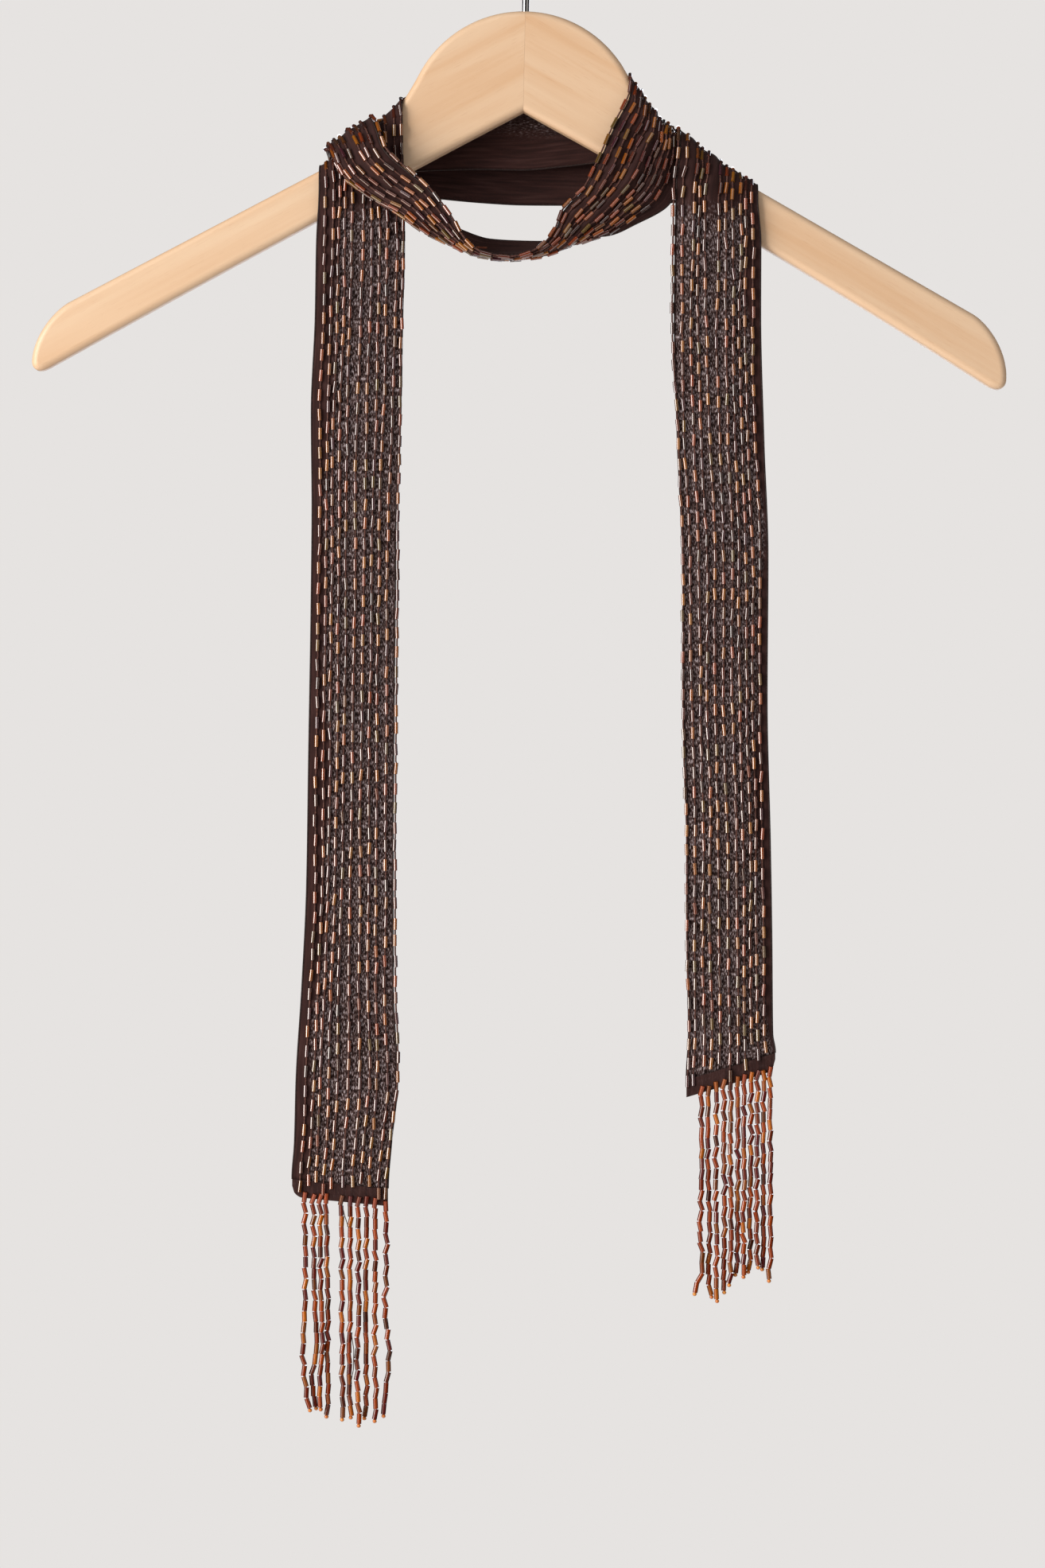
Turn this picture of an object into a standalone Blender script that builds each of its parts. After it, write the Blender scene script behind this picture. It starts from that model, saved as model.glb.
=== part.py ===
"""A skinny scarf sewn with rows of bugle beads, wound once round the neck of a wooden coat hanger.

Metres, +Z up, +X to the viewer's right and +Y away from the viewer. The origin is the inner top of
the hook's bow, where a rail carries the hanger. The named sizes and tables are in millimetres.
"""

import math

import bmesh
import bpy
import numpy as np

MM = 0.001

# The cloth: one long strip, as a wall of chiffon with its beads
CLOTH_WALL = 2.0
SEAM_GAP = 0.5
TAIL_STEP, TAIL_COLUMNS = 11.0, 8
BAND_STEP, BAND_COLUMNS = 7.0, 8
SWAG_STEP, SWAG_COLUMNS = 4.5, 14
PLEATS = 3
BAND_PLEAT = 0.35
TAIL_CROWN = 0.8
PROBE = 0.3

# The hanger: two halves of a board that meet at the middle
BOARD_THICKNESS = 12.0
EDGE_ROUNDING = 3.0
APEX_BELOW_BOW = 107.7
DOME_HEIGHT = 45.7
DOME_RADIUS = 53.7
DOME_END_ANGLE = 27.0
ARM_LENGTH = 254.0
ARM_DROP = 29.45
TILT = 1.2
HALF_GAP = 0.3

# Each arm, measured square to its underside
ARM_FIELDS = ("side", "root_width", "tip_width", "underside_bow")
ARMS = {
    "hanger_left": (-1, 19.2, 22.3, 0.8),
    "hanger_right": (1, 22.3, 24.9, 2.2),
}
ARM_BLEND_END = 84.0
TIP_LENGTH = 30.0
TIP_FULLNESS = 1.7
TIP_RADIUS = 6.5

# The hook: bent wire with an open bow
WIRE_RADIUS = 1.65
BOW_RADIUS = 20.0
BOW_START, BOW_END = -50.0, 192.0
STEM_STRAIGHT = 11.0
WIRE_SIDES = 10

# The tails hang from the shoulders; where a row leans, its outer end is that much lower
TAIL_FIELDS = ("z", "lean", "outer_x", "outer_y", "neck_x", "neck_y")
LEFT_TAIL = (
    (-578.0, 0.0, -106.3, -9.8, -62.3, -9.8),
    (-550.0, 0.0, -105.6, -9.2, -59.6, -9.2),
    (-507.0, 0.0, -103.0, -8.4, -61.6, -8.4),
    (-463.0, 0.0, -100.9, -8.2, -61.7, -8.2),
    (-398.0, 0.0, -99.8, -9.0, -61.3, -9.0),
    (-333.0, 0.0, -98.7, -9.6, -60.6, -9.6),
    (-289.0, 0.0, -98.3, -9.0, -60.2, -9.0),
    (-246.0, 0.0, -98.7, -8.4, -58.1, -8.4),
    (-202.0, 0.0, -96.9, -8.4, -57.3, -8.4),
    (-164.0, 4.0, -96.3, -8.4, -56.4, -8.4),
)
RIGHT_TAIL = (
    (-140.0, 16.0, 104.9, -8.5, 67.6, -12.5),
    (-160.0, 8.0, 105.8, -8.6, 67.2, -11.0),
    (-201.0, 0.0, 105.7, -8.6, 66.7, -8.8),
    (-259.0, 0.0, 107.2, -8.4, 68.1, -8.4),
    (-311.0, 0.0, 109.0, -9.2, 70.3, -9.2),
    (-376.0, 0.0, 108.6, -9.8, 71.0, -9.8),
    (-442.0, 0.0, 110.1, -9.0, 72.8, -9.0),
    (-485.0, 0.0, 110.8, -8.4, 72.4, -8.4),
    (-528.0, 0.0, 111.2, -8.8, 73.1, -8.8),
)

# The doubled hems that carry the fringes: the two ends of each strip's lower edge
HEM_HEIGHT = 8.0
HEM_FIELDS = ("outer_x", "outer_z", "neck_x", "neck_z", "y")
LEFT_HEM = (-107.4, -602.6, -63.8, -606.8, -10.2)
RIGHT_HEM = (112.4, -545.0, 72.1, -557.2, -9.4)

# Where each stretch goes over an arm: x of its edges and their distances from the board's middle
CROSSING_FIELDS = ("neck_x", "fold_x", "outer_x", "neck_radius", "fold_radius", "outer_radius")
LEFT_UNDER = (-57.6, -76.4, -95.1, 8.4, 8.6, 8.4)
LEFT_OVER = (-72.9, -91.0, -79.5, 16.2, 15.2, 14.0)
RIGHT_INNER = (46.8, 58.5, 70.2, 8.2, 8.6, 7.9)
RIGHT_OUTER = (69.2, 87.2, 104.4, 11.8, 9.2, 8.4)
NECK_ANGLES = (0.0, 22.0, 44.0, 66.0, 88.0, 104.0, 116.0)
OUTER_ANGLES = (0.0, 26.0, 52.0, 78.0, 104.0, 130.0, 152.0)

# The two runs behind the neck: upper edge, lower edge, distance behind the board's middle
BAND_FIELDS = ("neck_x", "neck_z", "outer_x", "outer_z", "y", "belly")
INNER_BAND = (
    (-48.5, -95.0, -66.0, -134.6, 9.0, 0.5),
    (-37.5, -92.7, -45.6, -132.8, 9.6, 1.0),
    (-19.4, -91.5, -21.9, -132.2, 10.8, 1.2),
    (-2.9, -91.1, -2.9, -132.4, 11.4, 1.2),
    (14.7, -90.4, 17.2, -130.8, 10.8, 1.2),
    (33.0, -89.4, 38.6, -128.4, 9.6, 1.0),
)
OUTER_BAND = (
    (-60.5, -108.7, -74.0, -141.0, 15.6, 2.4),
    (-41.5, -107.6, -44.1, -144.6, 16.4, 1.8),
    (-22.1, -107.7, -22.1, -146.6, 17.6, 1.4),
    (-3.1, -108.0, -3.1, -147.6, 18.4, 1.2),
    (16.4, -108.5, 18.2, -147.8, 18.0, 1.2),
    (38.4, -109.2, 43.9, -147.4, 16.8, 1.2),
    (60.0, -111.6, 70.0, -147.0, 14.6, 0.8),
)

# The loop in front: neck edge, lowest fold, outer edge and how deep its pleats stand
SWAG_FIELDS = ("neck", "fold", "outer", "pleat")
SWAG = (
    ((39.8, -9.6, -115.4), (55.4, -11.0, -126.2), (69.4, -8.2, -138.0), 0.7),
    ((33.0, -11.4, -131.0), (49.6, -14.0, -140.4), (64.4, -10.4, -150.6), 0.9),
    ((25.7, -14.4, -145.4), (38.4, -17.4, -153.7), (49.2, -13.4, -160.1), 0.9),
    ((16.7, -18.4, -155.0), (28.3, -20.4, -162.9), (35.2, -12.6, -165.4), 0.7),
    ((10.7, -23.0, -164.0), (18.6, -21.0, -169.8), (20.6, -8.4, -166.0), 0.4),
    ((4.0, -27.0, -170.6), (7.6, -19.4, -173.2), (8.4, -5.4, -166.4), 0.3),
    ((-8.3, -30.0, -173.4), (-8.5, -19.0, -175.3), (-8.1, -4.4, -166.6), 0.3),
    ((-20.8, -29.4, -171.2), (-22.9, -19.0, -173.8), (-22.6, -4.4, -165.4), 0.3),
    ((-29.4, -28.0, -166.6), (-33.3, -19.0, -169.2), (-31.4, -6.4, -160.0), 0.4),
    ((-37.1, -25.6, -157.4), (-46.4, -19.0, -163.6), (-42.6, -9.6, -155.9), 0.5),
    ((-46.6, -22.6, -144.0), (-61.0, -18.4, -153.4), (-53.6, -13.4, -146.6), 0.6),
    ((-54.4, -21.0, -137.6), (-71.0, -17.6, -147.4), (-60.6, -13.6, -141.0), 0.6),
    ((-66.0, -18.8, -126.0), (-82.6, -16.8, -138.4), (-73.6, -13.8, -130.6), 0.4),
)

# The strands: distance from the hem's left end, seen from the front, at six heights, forward drift and length
FRINGE_FIELDS = ("top", "quarter", "half", "seven_tenths", "low", "end", "forward", "length")
STRAND_HEIGHTS = {"top": 0.0, "quarter": 0.25, "half": 0.5, "seven_tenths": 0.7, "low": 0.85, "end": 1.0}
STRAND_RADIUS = 0.9
STRAND_SIDES = 4
STRAND_RINGS = 9
STRAND_ROOT = 3.0
STRAND_START = 0.6
LEFT_FRINGE = (
    (5.7, 6.1, 5.9, 5.0, 6.1, 8.2, 1.5, 96.9),
    (9.7, 9.8, 10.3, 11.4, 8.8, 10.9, -1.5, 96.0),
    (12.9, 12.9, 13.4, 13.9, 12.6, 12.8, 1.4, 95.8),
    (15.7, 15.8, 16.3, 15.9, 16.4, 15.8, -1.4, 99.2),
    (22.5, 22.6, 22.7, 22.8, 23.1, 23.1, 0.8, 99.6),
    (26.6, 26.4, 26.5, 26.0, 26.0, 27.3, -0.6, 98.4),
    (30.3, 30.3, 30.3, 29.6, 30.0, 30.8, 1.6, 101.5),
    (33.8, 33.7, 33.5, 33.8, 33.8, 33.0, -1.6, 98.2),
    (37.8, 37.9, 37.8, 37.7, 38.0, 37.8, 0.6, 98.8),
    (42.6, 42.9, 42.4, 44.2, 42.8, 41.2, -0.8, 96.2),
)
RIGHT_FRINGE = (
    (7.0, 6.9, 6.6, 6.1, 7.4, 2.6, 1.4, 91.6),
    (9.9, 9.8, 10.2, 10.7, 10.0, 11.3, -1.4, 94.2),
    (13.5, 13.5, 13.3, 13.8, 13.5, 13.6, 0.8, 96.9),
    (17.1, 17.0, 17.3, 17.4, 17.0, 17.0, -1.2, 94.2),
    (20.1, 20.0, 20.1, 20.2, 20.0, 19.6, 1.2, 91.5),
    (23.4, 23.3, 23.4, 23.1, 23.3, 22.2, -1.0, 88.0),
    (26.3, 26.1, 26.4, 25.8, 25.9, 26.1, 1.0, 89.6),
    (29.5, 29.3, 29.4, 28.6, 29.3, 28.2, -1.4, 88.5),
    (32.3, 32.2, 32.0, 31.8, 32.0, 32.5, 1.4, 87.0),
    (35.2, 35.1, 35.0, 35.0, 35.1, 34.8, -1.2, 88.9),
    (38.1, 38.0, 38.1, 38.1, 38.4, 36.9, 0.8, 94.8),
)

# Colours as linear red, green and blue, with roughness and metallic values
FINISHES = {
    "chiffon": ((0.032, 0.017, 0.015), 0.75, 0.0),
    "fringe_beads": ((0.24, 0.075, 0.022), 0.3, 0.0),
    "wood": ((0.76, 0.52, 0.31), 0.42, 0.0),
    "chrome": ((0.72, 0.73, 0.76), 0.12, 1.0),
}


def named(fields, rows):
    """The rows of a table, each as a dictionary of its columns."""
    return [dict(zip(fields, row)) for row in rows]


def clear_scene():
    for item in list(bpy.data.objects):
        bpy.data.objects.remove(item, do_unlink=True)


def finish(name, slot):
    """A material of its own for each piece, in its slot's colour."""
    colour, roughness, metallic = FINISHES[slot]
    material = bpy.data.materials.new(name + "_" + slot)
    material.use_nodes = True
    shader = material.node_tree.nodes["Principled BSDF"]
    shader.inputs["Base Color"].default_value = (*colour, 1.0)
    shader.inputs["Roughness"].default_value = roughness
    shader.inputs["Metallic"].default_value = metallic
    return material


def solid(name, points, faces, slot):
    """An object from points in millimetres and faces, with its normals outward."""
    mesh = bpy.data.meshes.new(name)
    mesh.from_pydata([tuple(float(v) * MM for v in p) for p in points], [], faces)
    body = bmesh.new()
    body.from_mesh(mesh)
    bmesh.ops.recalc_face_normals(body, faces=body.faces)
    body.to_mesh(mesh)
    body.free()
    mesh.shade_smooth()
    mesh.set_sharp_from_angle(angle=math.radians(40))
    item = bpy.data.objects.new(name, mesh)
    bpy.context.collection.objects.link(item)
    mesh.materials.append(finish(name, slot))
    return item


def unit(vectors):
    return vectors / np.maximum(np.linalg.norm(vectors, axis=-1, keepdims=True), 1e-9)


def slopes(places, values):
    """Tangents that keep a curve through the values free of overshoot."""
    steps = np.diff(places)[:, None]
    rises = np.diff(values, axis=0) / steps
    result = np.zeros_like(values)
    result[0], result[-1] = rises[0], rises[-1]
    before, after = rises[:-1], rises[1:]
    near, far = steps[:-1], steps[1:]
    alike = before * after > 0
    safe_before = np.where(alike, before, 1.0)
    safe_after = np.where(alike, after, 1.0)
    mean = 3 * (near + far) / ((2 * far + near) / safe_before + (far + 2 * near) / safe_after)
    result[1:-1] = np.where(alike, mean, 0.0)
    return result


def along(places, values, at):
    """The smooth curve through values at places, read at the given distances."""
    tangents = slopes(places, values)
    index = np.clip(np.searchsorted(places, at, side="right") - 1, 0, len(places) - 2)
    step = (places[index + 1] - places[index])[:, None]
    t = ((at - places[index]) / step[:, 0])[:, None]
    start, end = values[index], values[index + 1]
    leave, arrive = tangents[index] * step, tangents[index + 1] * step
    return (
        start * (2 * t**3 - 3 * t**2 + 1)
        + leave * (t**3 - 2 * t**2 + t)
        + end * (-2 * t**3 + 3 * t**2)
        + arrive * (t**3 - t**2)
    )


def curve_through(p0, p1, p2, p3, count):
    """Points of a Bezier arc, ends included."""
    t = np.linspace(0, 1, count)[:, None]
    p0, p1, p2, p3 = (np.array(p, float) for p in (p0, p1, p2, p3))
    return p0 * (1 - t) ** 3 + 3 * p1 * t * (1 - t) ** 2 + 3 * p2 * t**2 * (1 - t) + p3 * t**3


def half_outline(side, root_width, tip_width, underside_bow):
    """One half of the board, level, from the seam's top round the tip to the apex of the V."""
    drop = math.radians(ARM_DROP)
    outward = np.array((math.cos(drop), -math.sin(drop)))
    upward = np.array((math.sin(drop), math.cos(drop)))

    def arm_point(u, v):
        return outward * u + upward * v

    def width(u):
        return root_width + (tip_width - root_width) * u / ARM_LENGTH

    centre = np.array((0.0, DOME_HEIGHT - DOME_RADIUS))
    angles = np.radians(np.linspace(90.0, DOME_END_ANGLE, 11))
    dome = centre + DOME_RADIUS * np.stack((np.cos(angles), np.sin(angles)), axis=1)
    down_dome = np.array((math.sin(angles[-1]), -math.cos(angles[-1])))
    shoulder_end = arm_point(ARM_BLEND_END, width(ARM_BLEND_END))
    along_arm = unit(arm_point(200.0, width(200.0)) - shoulder_end)
    shoulder = curve_through(
        dome[-1], dome[-1] + down_dome * 17.0, shoulder_end - along_arm * 20.0, shoulder_end, 7
    )
    tip_start = ARM_LENGTH - TIP_LENGTH
    quarter = np.linspace(0, math.pi / 2, 9)
    rounded = [
        arm_point(
            tip_start + TIP_LENGTH * math.sin(a) ** (2 / TIP_FULLNESS),
            width(tip_start) * math.cos(a) ** (2 / TIP_FULLNESS),
        )
        for a in quarter
    ]
    corner = [p for p in rounded if np.dot(p, upward) > TIP_RADIUS]
    point = curve_through(
        corner[-1],
        arm_point(ARM_LENGTH, TIP_RADIUS * 0.5),
        arm_point(ARM_LENGTH - TIP_RADIUS * 0.3, 0.0),
        arm_point(ARM_LENGTH - TIP_RADIUS * 1.2, 0.0),
        6,
    )
    reach = np.linspace(0.86, 0.0, 7) * ARM_LENGTH
    underside = [arm_point(u, underside_bow * math.sin(math.pi * u / ARM_LENGTH)) for u in reach]
    outline = np.concatenate((dome, shoulder[1:], corner, point[1:], underside))
    return outline * np.array((side, 1.0))


def hang(points):
    """Level hanger coordinates, x and z from the apex, to the tilted hanger under its hook."""
    angle = math.radians(TILT)
    x, z = points[..., 0], points[..., 1] - APEX_BELOW_BOW
    return np.stack(
        (x * math.cos(angle) + z * math.sin(angle), z * math.cos(angle) - x * math.sin(angle)), axis=-1
    )


def inset(outline, depth):
    """The outline drawn in by depth; its first and last points stay on the seam."""
    ahead = unit(np.diff(outline, axis=0))
    turn = np.stack((-ahead[:, 1], ahead[:, 0]), axis=1)
    if np.dot(turn[0], (0.0, -1.0)) < 0:
        turn = -turn
    moved = outline.copy()
    middle = turn[:-1] + turn[1:]
    moved[1:-1] += middle * (2 * depth / np.sum(middle**2, axis=1))[:, None]
    moved[0, 1] -= depth / abs(turn[0, 1])
    moved[-1, 1] += depth / abs(turn[-1, 1])
    return moved


def hanger_half(name):
    """A board half: its outline carried through the thickness, with rounded long edges."""
    arm = dict(zip(ARM_FIELDS, ARMS[name]))
    side = arm["side"]
    outline = half_outline(**arm)
    half = BOARD_THICKNESS / 2
    rings = []
    for angle in (0.0, 30.0, 60.0, 90.0):
        a = math.radians(angle)
        rings.append((EDGE_ROUNDING * (1 - math.sin(a)), -half + EDGE_ROUNDING * (1 - math.cos(a))))
    rings += [(depth, -y) for depth, y in reversed(rings)]
    points = []
    for depth, y in rings:
        flat = inset(outline, depth)
        flat[:, 0] += side * HALF_GAP / 2
        for x, z in hang(flat):
            points.append((x, y, z))
    count = len(outline)
    faces = [tuple(range(count)), tuple(range((len(rings) - 1) * count, len(rings) * count))]
    for ring in range(len(rings) - 1):
        for i in range(count):
            j = (i + 1) % count
            a = ring * count
            faces.append((a + i, a + j, a + count + j, a + count + i))
    return solid(name, points, faces, "wood")


def arm_top(x):
    """Height of the board's upper edge at x."""
    outlines = []
    for name in ARMS:
        edge = hang(half_outline(*ARMS[name]))
        top = edge[: int(np.argmax(np.abs(edge[:, 0])))]
        outlines.append(top)
    edge = np.concatenate(outlines)
    edge = edge[np.argsort(edge[:, 0])]
    return float(np.interp(x, edge[:, 0], edge[:, 1]))


def tube_rings(path, radius, sides, turn=0.0):
    """Rings square to a path, each carried on from the last without twist."""
    path = np.array(path, float)
    tangents = unit(np.gradient(path, axis=0))
    across = unit(np.cross(tangents[0], (0.0, 1.0, 0.0)))
    rings = []
    for centre, tangent in zip(path, tangents):
        across = unit(across - tangent * np.dot(across, tangent))
        beside = np.cross(tangent, across)
        for k in range(sides):
            a = turn + 2 * math.pi * k / sides
            rings.append(centre + radius * (math.cos(a) * across + math.sin(a) * beside))
    return rings


def tube_faces(rings, sides, first=0):
    """Walls and end caps of a tube."""
    faces = []
    for ring in range(rings - 1):
        for k in range(sides):
            a = first + ring * sides + k
            b = first + ring * sides + (k + 1) % sides
            faces.append((a, b, b + sides, a + sides))
    faces.append(tuple(first + k for k in range(sides)))
    faces.append(tuple(first + (rings - 1) * sides + k for k in range(sides)))
    return faces


def hook_path():
    """The wire's middle line, level, from the top of the board to the open end of the bow."""
    base = DOME_HEIGHT - APEX_BELOW_BOW + HALF_GAP
    reach = BOW_RADIUS + WIRE_RADIUS
    angles = np.radians(np.linspace(BOW_START, BOW_END, 25))
    bow = np.stack((reach * np.cos(angles), reach * np.sin(angles) - BOW_RADIUS), axis=1)
    stem = np.array(((0.0, base), (0.0, base + STEM_STRAIGHT / 2), (0.0, base + STEM_STRAIGHT)))
    leave = np.array((-math.sin(angles[0]), math.cos(angles[0])))
    neck = curve_through(stem[-1], stem[-1] + (0.0, 5.5), bow[0] - leave * 6.0, bow[0], 8)
    level = np.concatenate((stem, neck[1:], bow[1:]))
    placed = hang(level + (0.0, APEX_BELOW_BOW))
    return [(x, 0.0, z) for x, z in placed]


def hook():
    path = hook_path()
    points = tube_rings(path, WIRE_RADIUS, WIRE_SIDES)
    return solid("hook", points, tube_faces(len(path), WIRE_SIDES), "chrome")


def hanging_rows(table):
    """Rows of a tail: neck edge, middle and outer edge, with a slight crown to the front."""
    rows = []
    for row in named(TAIL_FIELDS, table):
        neck = np.array((row["neck_x"], row["neck_y"], row["z"]))
        outer = np.array((row["outer_x"], row["outer_y"], row["z"] - row["lean"]))
        rows.append((neck, (neck + outer) / 2 - (0.0, TAIL_CROWN, 0.0), outer, 0.0))
    return rows


def hem_line(hem, below_seam):
    """The line across the strip, at the hem's slope, a given height above its lower edge."""
    ends = dict(zip(HEM_FIELDS, hem))
    lift = HEM_HEIGHT + below_seam
    neck = np.array((ends["neck_x"], ends["y"], ends["neck_z"] + lift))
    outer = np.array((ends["outer_x"], ends["y"], ends["outer_z"] + lift))
    return (neck, (neck + outer) / 2 - (0.0, TAIL_CROWN, 0.0), outer, 0.0)


def crossing_rows(crossing, pleat):
    """Rows over an arm, front to back: each edge follows a half circle over the board."""
    sizes = dict(zip(CROSSING_FIELDS, crossing))

    def place(edge, angle):
        a = math.radians(angle)
        x, radius = sizes[edge + "_x"], sizes[edge + "_radius"]
        height = arm_top(x) - BOARD_THICKNESS / 2
        return (x, -radius * math.cos(a), height + radius * math.sin(a))

    rows = []
    for neck_angle, outer_angle in zip(NECK_ANGLES, OUTER_ANGLES):
        middle_angle = (neck_angle + outer_angle) / 2
        rows.append(
            (place("neck", neck_angle), place("fold", middle_angle), place("outer", outer_angle), pleat)
        )
    return rows


def band_rows(table):
    """Rows of a run behind the neck, upright, with a belly away from the board."""
    rows = []
    for row in named(BAND_FIELDS, table):
        neck = np.array((row["neck_x"], row["y"], row["neck_z"]))
        outer = np.array((row["outer_x"], row["y"], row["outer_z"]))
        rows.append((neck, (neck + outer) / 2 + (0.0, row["belly"], 0.0), outer, BAND_PLEAT))
    return rows


def wound_rows():
    """Every row of the scarf in order, from the left hem to the right hem, and where stretches end."""
    inner, outer = band_rows(INNER_BAND), band_rows(OUTER_BAND)
    left_rise = hanging_rows(LEFT_TAIL) + crossing_rows(LEFT_UNDER, 0.1)
    swag = crossing_rows(RIGHT_INNER, 0.1)[::-1] + list(SWAG) + crossing_rows(LEFT_OVER, 0.1)[1:]
    right_fall = crossing_rows(RIGHT_OUTER, 0.3)[::-1] + hanging_rows(RIGHT_TAIL)
    parts = (
        [hem_line(LEFT_HEM, 0.0)] + left_rise,
        inner[:-1],
        inner[-1:] + swag,
        outer[:-1],
        outer[-1:] + right_fall + [hem_line(RIGHT_HEM, 0.0)],
    )
    rows, ends = [], [0]
    for part in parts:
        rows += part
        ends.append(len(rows))
    return rows, ends


class Strip:
    """The whole cloth as smooth edge, fold and pleat curves over the distance along its middle."""

    def __init__(self):
        rows, self.ends = wound_rows()
        rows = named(SWAG_FIELDS, rows)
        self.neck = np.array([row["neck"] for row in rows], float)
        self.fold = np.array([row["fold"] for row in rows], float)
        self.outer = np.array([row["outer"] for row in rows], float)
        self.pleat = np.array([[row["pleat"]] for row in rows], float)
        centre = (self.neck + self.fold + self.outer) / 3
        steps = np.linalg.norm(np.diff(centre, axis=0), axis=1)
        self.places = np.concatenate(((0.0,), np.cumsum(steps)))

    def stretch(self, index, step):
        """Distances along one stretch, its ends drawn back by half a seam gap."""
        first = self.ends[index]
        last = min(self.ends[index + 1], len(self.places) - 1)
        stops = self.places[first : last + 1].copy()
        stops[0] += SEAM_GAP / 2
        stops[-1] -= SEAM_GAP / 2
        at = [stops[0]]
        for start, end in zip(stops[:-1], stops[1:]):
            count = max(1, round((end - start) / step))
            at += list(np.linspace(start, end, count + 1)[1:])
        return np.array(at)

    def plain(self, at, columns):
        """The cloth's inner face without pleats: rows along it, columns from neck to outer edge."""
        at = np.clip(at, self.places[0], self.places[-1])
        neck = along(self.places, self.neck, at)[:, None]
        fold = along(self.places, self.fold, at)[:, None]
        outer = along(self.places, self.outer, at)[:, None]
        v = np.linspace(0, 1, columns + 1)
        middle = (neck + outer) / 2
        chord = np.linalg.norm(neck - outer, axis=-1)
        depth = np.linalg.norm(fold - middle, axis=-1)
        roundness = np.clip(depth / np.maximum(chord, 1e-6) - 0.15, 0, 1)
        reach = (1 - roundness) * (1 - 2 * v) + roundness * np.cos(math.pi * v)
        grid = middle + (neck - outer) / 2 * reach[:, :, None]
        return grid + (fold - middle) * np.sin(math.pi * v)[None, :, None]

    def pleated(self, at, columns):
        """The inner face with its lengthwise pleats, which die out at both edges."""
        v = np.linspace(0, 1, columns + 1)
        pleat = along(self.places, self.pleat, np.clip(at, self.places[0], self.places[-1]))
        wave = pleat * np.sin(2 * math.pi * PLEATS * v) * np.sin(math.pi * v)
        return self.plain(at, columns) + outward(self.plain, at, columns) * wave[:, :, None]

    def wall(self, index, step, columns):
        """The inner and outer face of one stretch."""
        at = self.stretch(index, step)
        inner = self.pleated(at, columns)
        return inner, inner + outward(self.pleated, at, columns) * CLOTH_WALL


def outward(form, at, columns):
    """Directions square to a form, on the cloth's beaded side."""
    travel = form(at + PROBE, columns) - form(at - PROBE, columns)
    across = np.gradient(form(at, columns), axis=1)
    return unit(np.cross(travel, across))


def wall(name, inner, face, slot):
    """A closed wall between an inner and an outer face."""
    rows, columns = inner.shape[:2]
    points = list(inner.reshape(-1, 3)) + list(face.reshape(-1, 3))
    far = rows * columns

    def at(i, j, layer):
        return layer * far + i * columns + j

    faces = []
    for i in range(rows - 1):
        for j in range(columns - 1):
            for layer in (0, 1):
                near, ahead = at(i, j, layer), at(i + 1, j, layer)
                faces.append((near, ahead, ahead + 1, near + 1))
        for j in (0, columns - 1):
            faces.append((at(i, j, 0), at(i + 1, j, 0), at(i + 1, j, 1), at(i, j, 1)))
    for j in range(columns - 1):
        for i in (0, rows - 1):
            faces.append((at(i, j, 0), at(i, j + 1, 0), at(i, j + 1, 1), at(i, j, 1)))
    return solid(name, points, faces, slot)


def strand_path(hem, strand):
    """One strand from inside the hem down to its last bead."""
    ends = dict(zip(HEM_FIELDS, hem))
    left, right = sorted(((ends["neck_x"], ends["neck_z"]), (ends["outer_x"], ends["outer_z"])))
    start_z = left[1] + (right[1] - left[1]) * strand["top"] / math.dist(left, right)
    heights = np.array(list(STRAND_HEIGHTS.values()))
    drift = np.array([[strand[height]] for height in STRAND_HEIGHTS])
    at = np.linspace(0, 1, STRAND_RINGS)
    across = left[0] + along(heights, drift, at)[:, 0]
    y = ends["y"] - CLOTH_WALL / 2
    path = [(across[0], y, start_z + STRAND_ROOT)]
    for t, x in zip(at, across):
        path.append((x, y - strand["forward"] * t, start_z - STRAND_START - t * strand["length"]))
    return path


def fringe(name, hem, table):
    """A hem strip with its strands fused into its lower edge."""
    top = hem_line(hem, -SEAM_GAP)
    bottom = hem_line(hem, -HEM_HEIGHT)
    v = np.linspace(0, 1, 7)[:, None]
    lines = []
    for neck, fold, outer, _ in (bottom, top):
        neck, fold, outer = (np.array(p, float) for p in (neck, fold, outer))
        middle = (neck + outer) / 2
        lines.append(neck + (outer - neck) * v + (fold - middle) * np.sin(math.pi * v))
    grid = np.array(lines)
    strip = wall(name, grid, grid - (0.0, CLOTH_WALL, 0.0), "fringe_beads")
    for number, strand in enumerate(named(FRINGE_FIELDS, table)):
        path = strand_path(hem, strand)
        points = tube_rings(path, STRAND_RADIUS, STRAND_SIDES, math.pi / 4)
        piece = solid(f"strand_{number}", points, tube_faces(len(path), STRAND_SIDES), "fringe_beads")
        fuse = strip.modifiers.new("fuse", "BOOLEAN")
        fuse.operation = "UNION"
        fuse.object = piece
        piece.hide_render = True
        piece.display_type = "WIRE"
    return strip


def build():
    clear_scene()
    for name in ARMS:
        hanger_half(name)
    hook()
    strip = Strip()
    stretches = (
        ("tail_left", TAIL_STEP, TAIL_COLUMNS),
        ("back_inner", BAND_STEP, BAND_COLUMNS),
        ("swag_front", SWAG_STEP, SWAG_COLUMNS),
        ("back_outer", BAND_STEP, BAND_COLUMNS),
        ("tail_right", TAIL_STEP, TAIL_COLUMNS),
    )
    for index, (name, step, columns) in enumerate(stretches):
        wall(name, *strip.wall(index, step, columns), "chiffon")
    fringe("fringe_left", LEFT_HEM, LEFT_FRINGE)
    fringe("fringe_right", RIGHT_HEM, RIGHT_FRINGE)


build()
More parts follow.
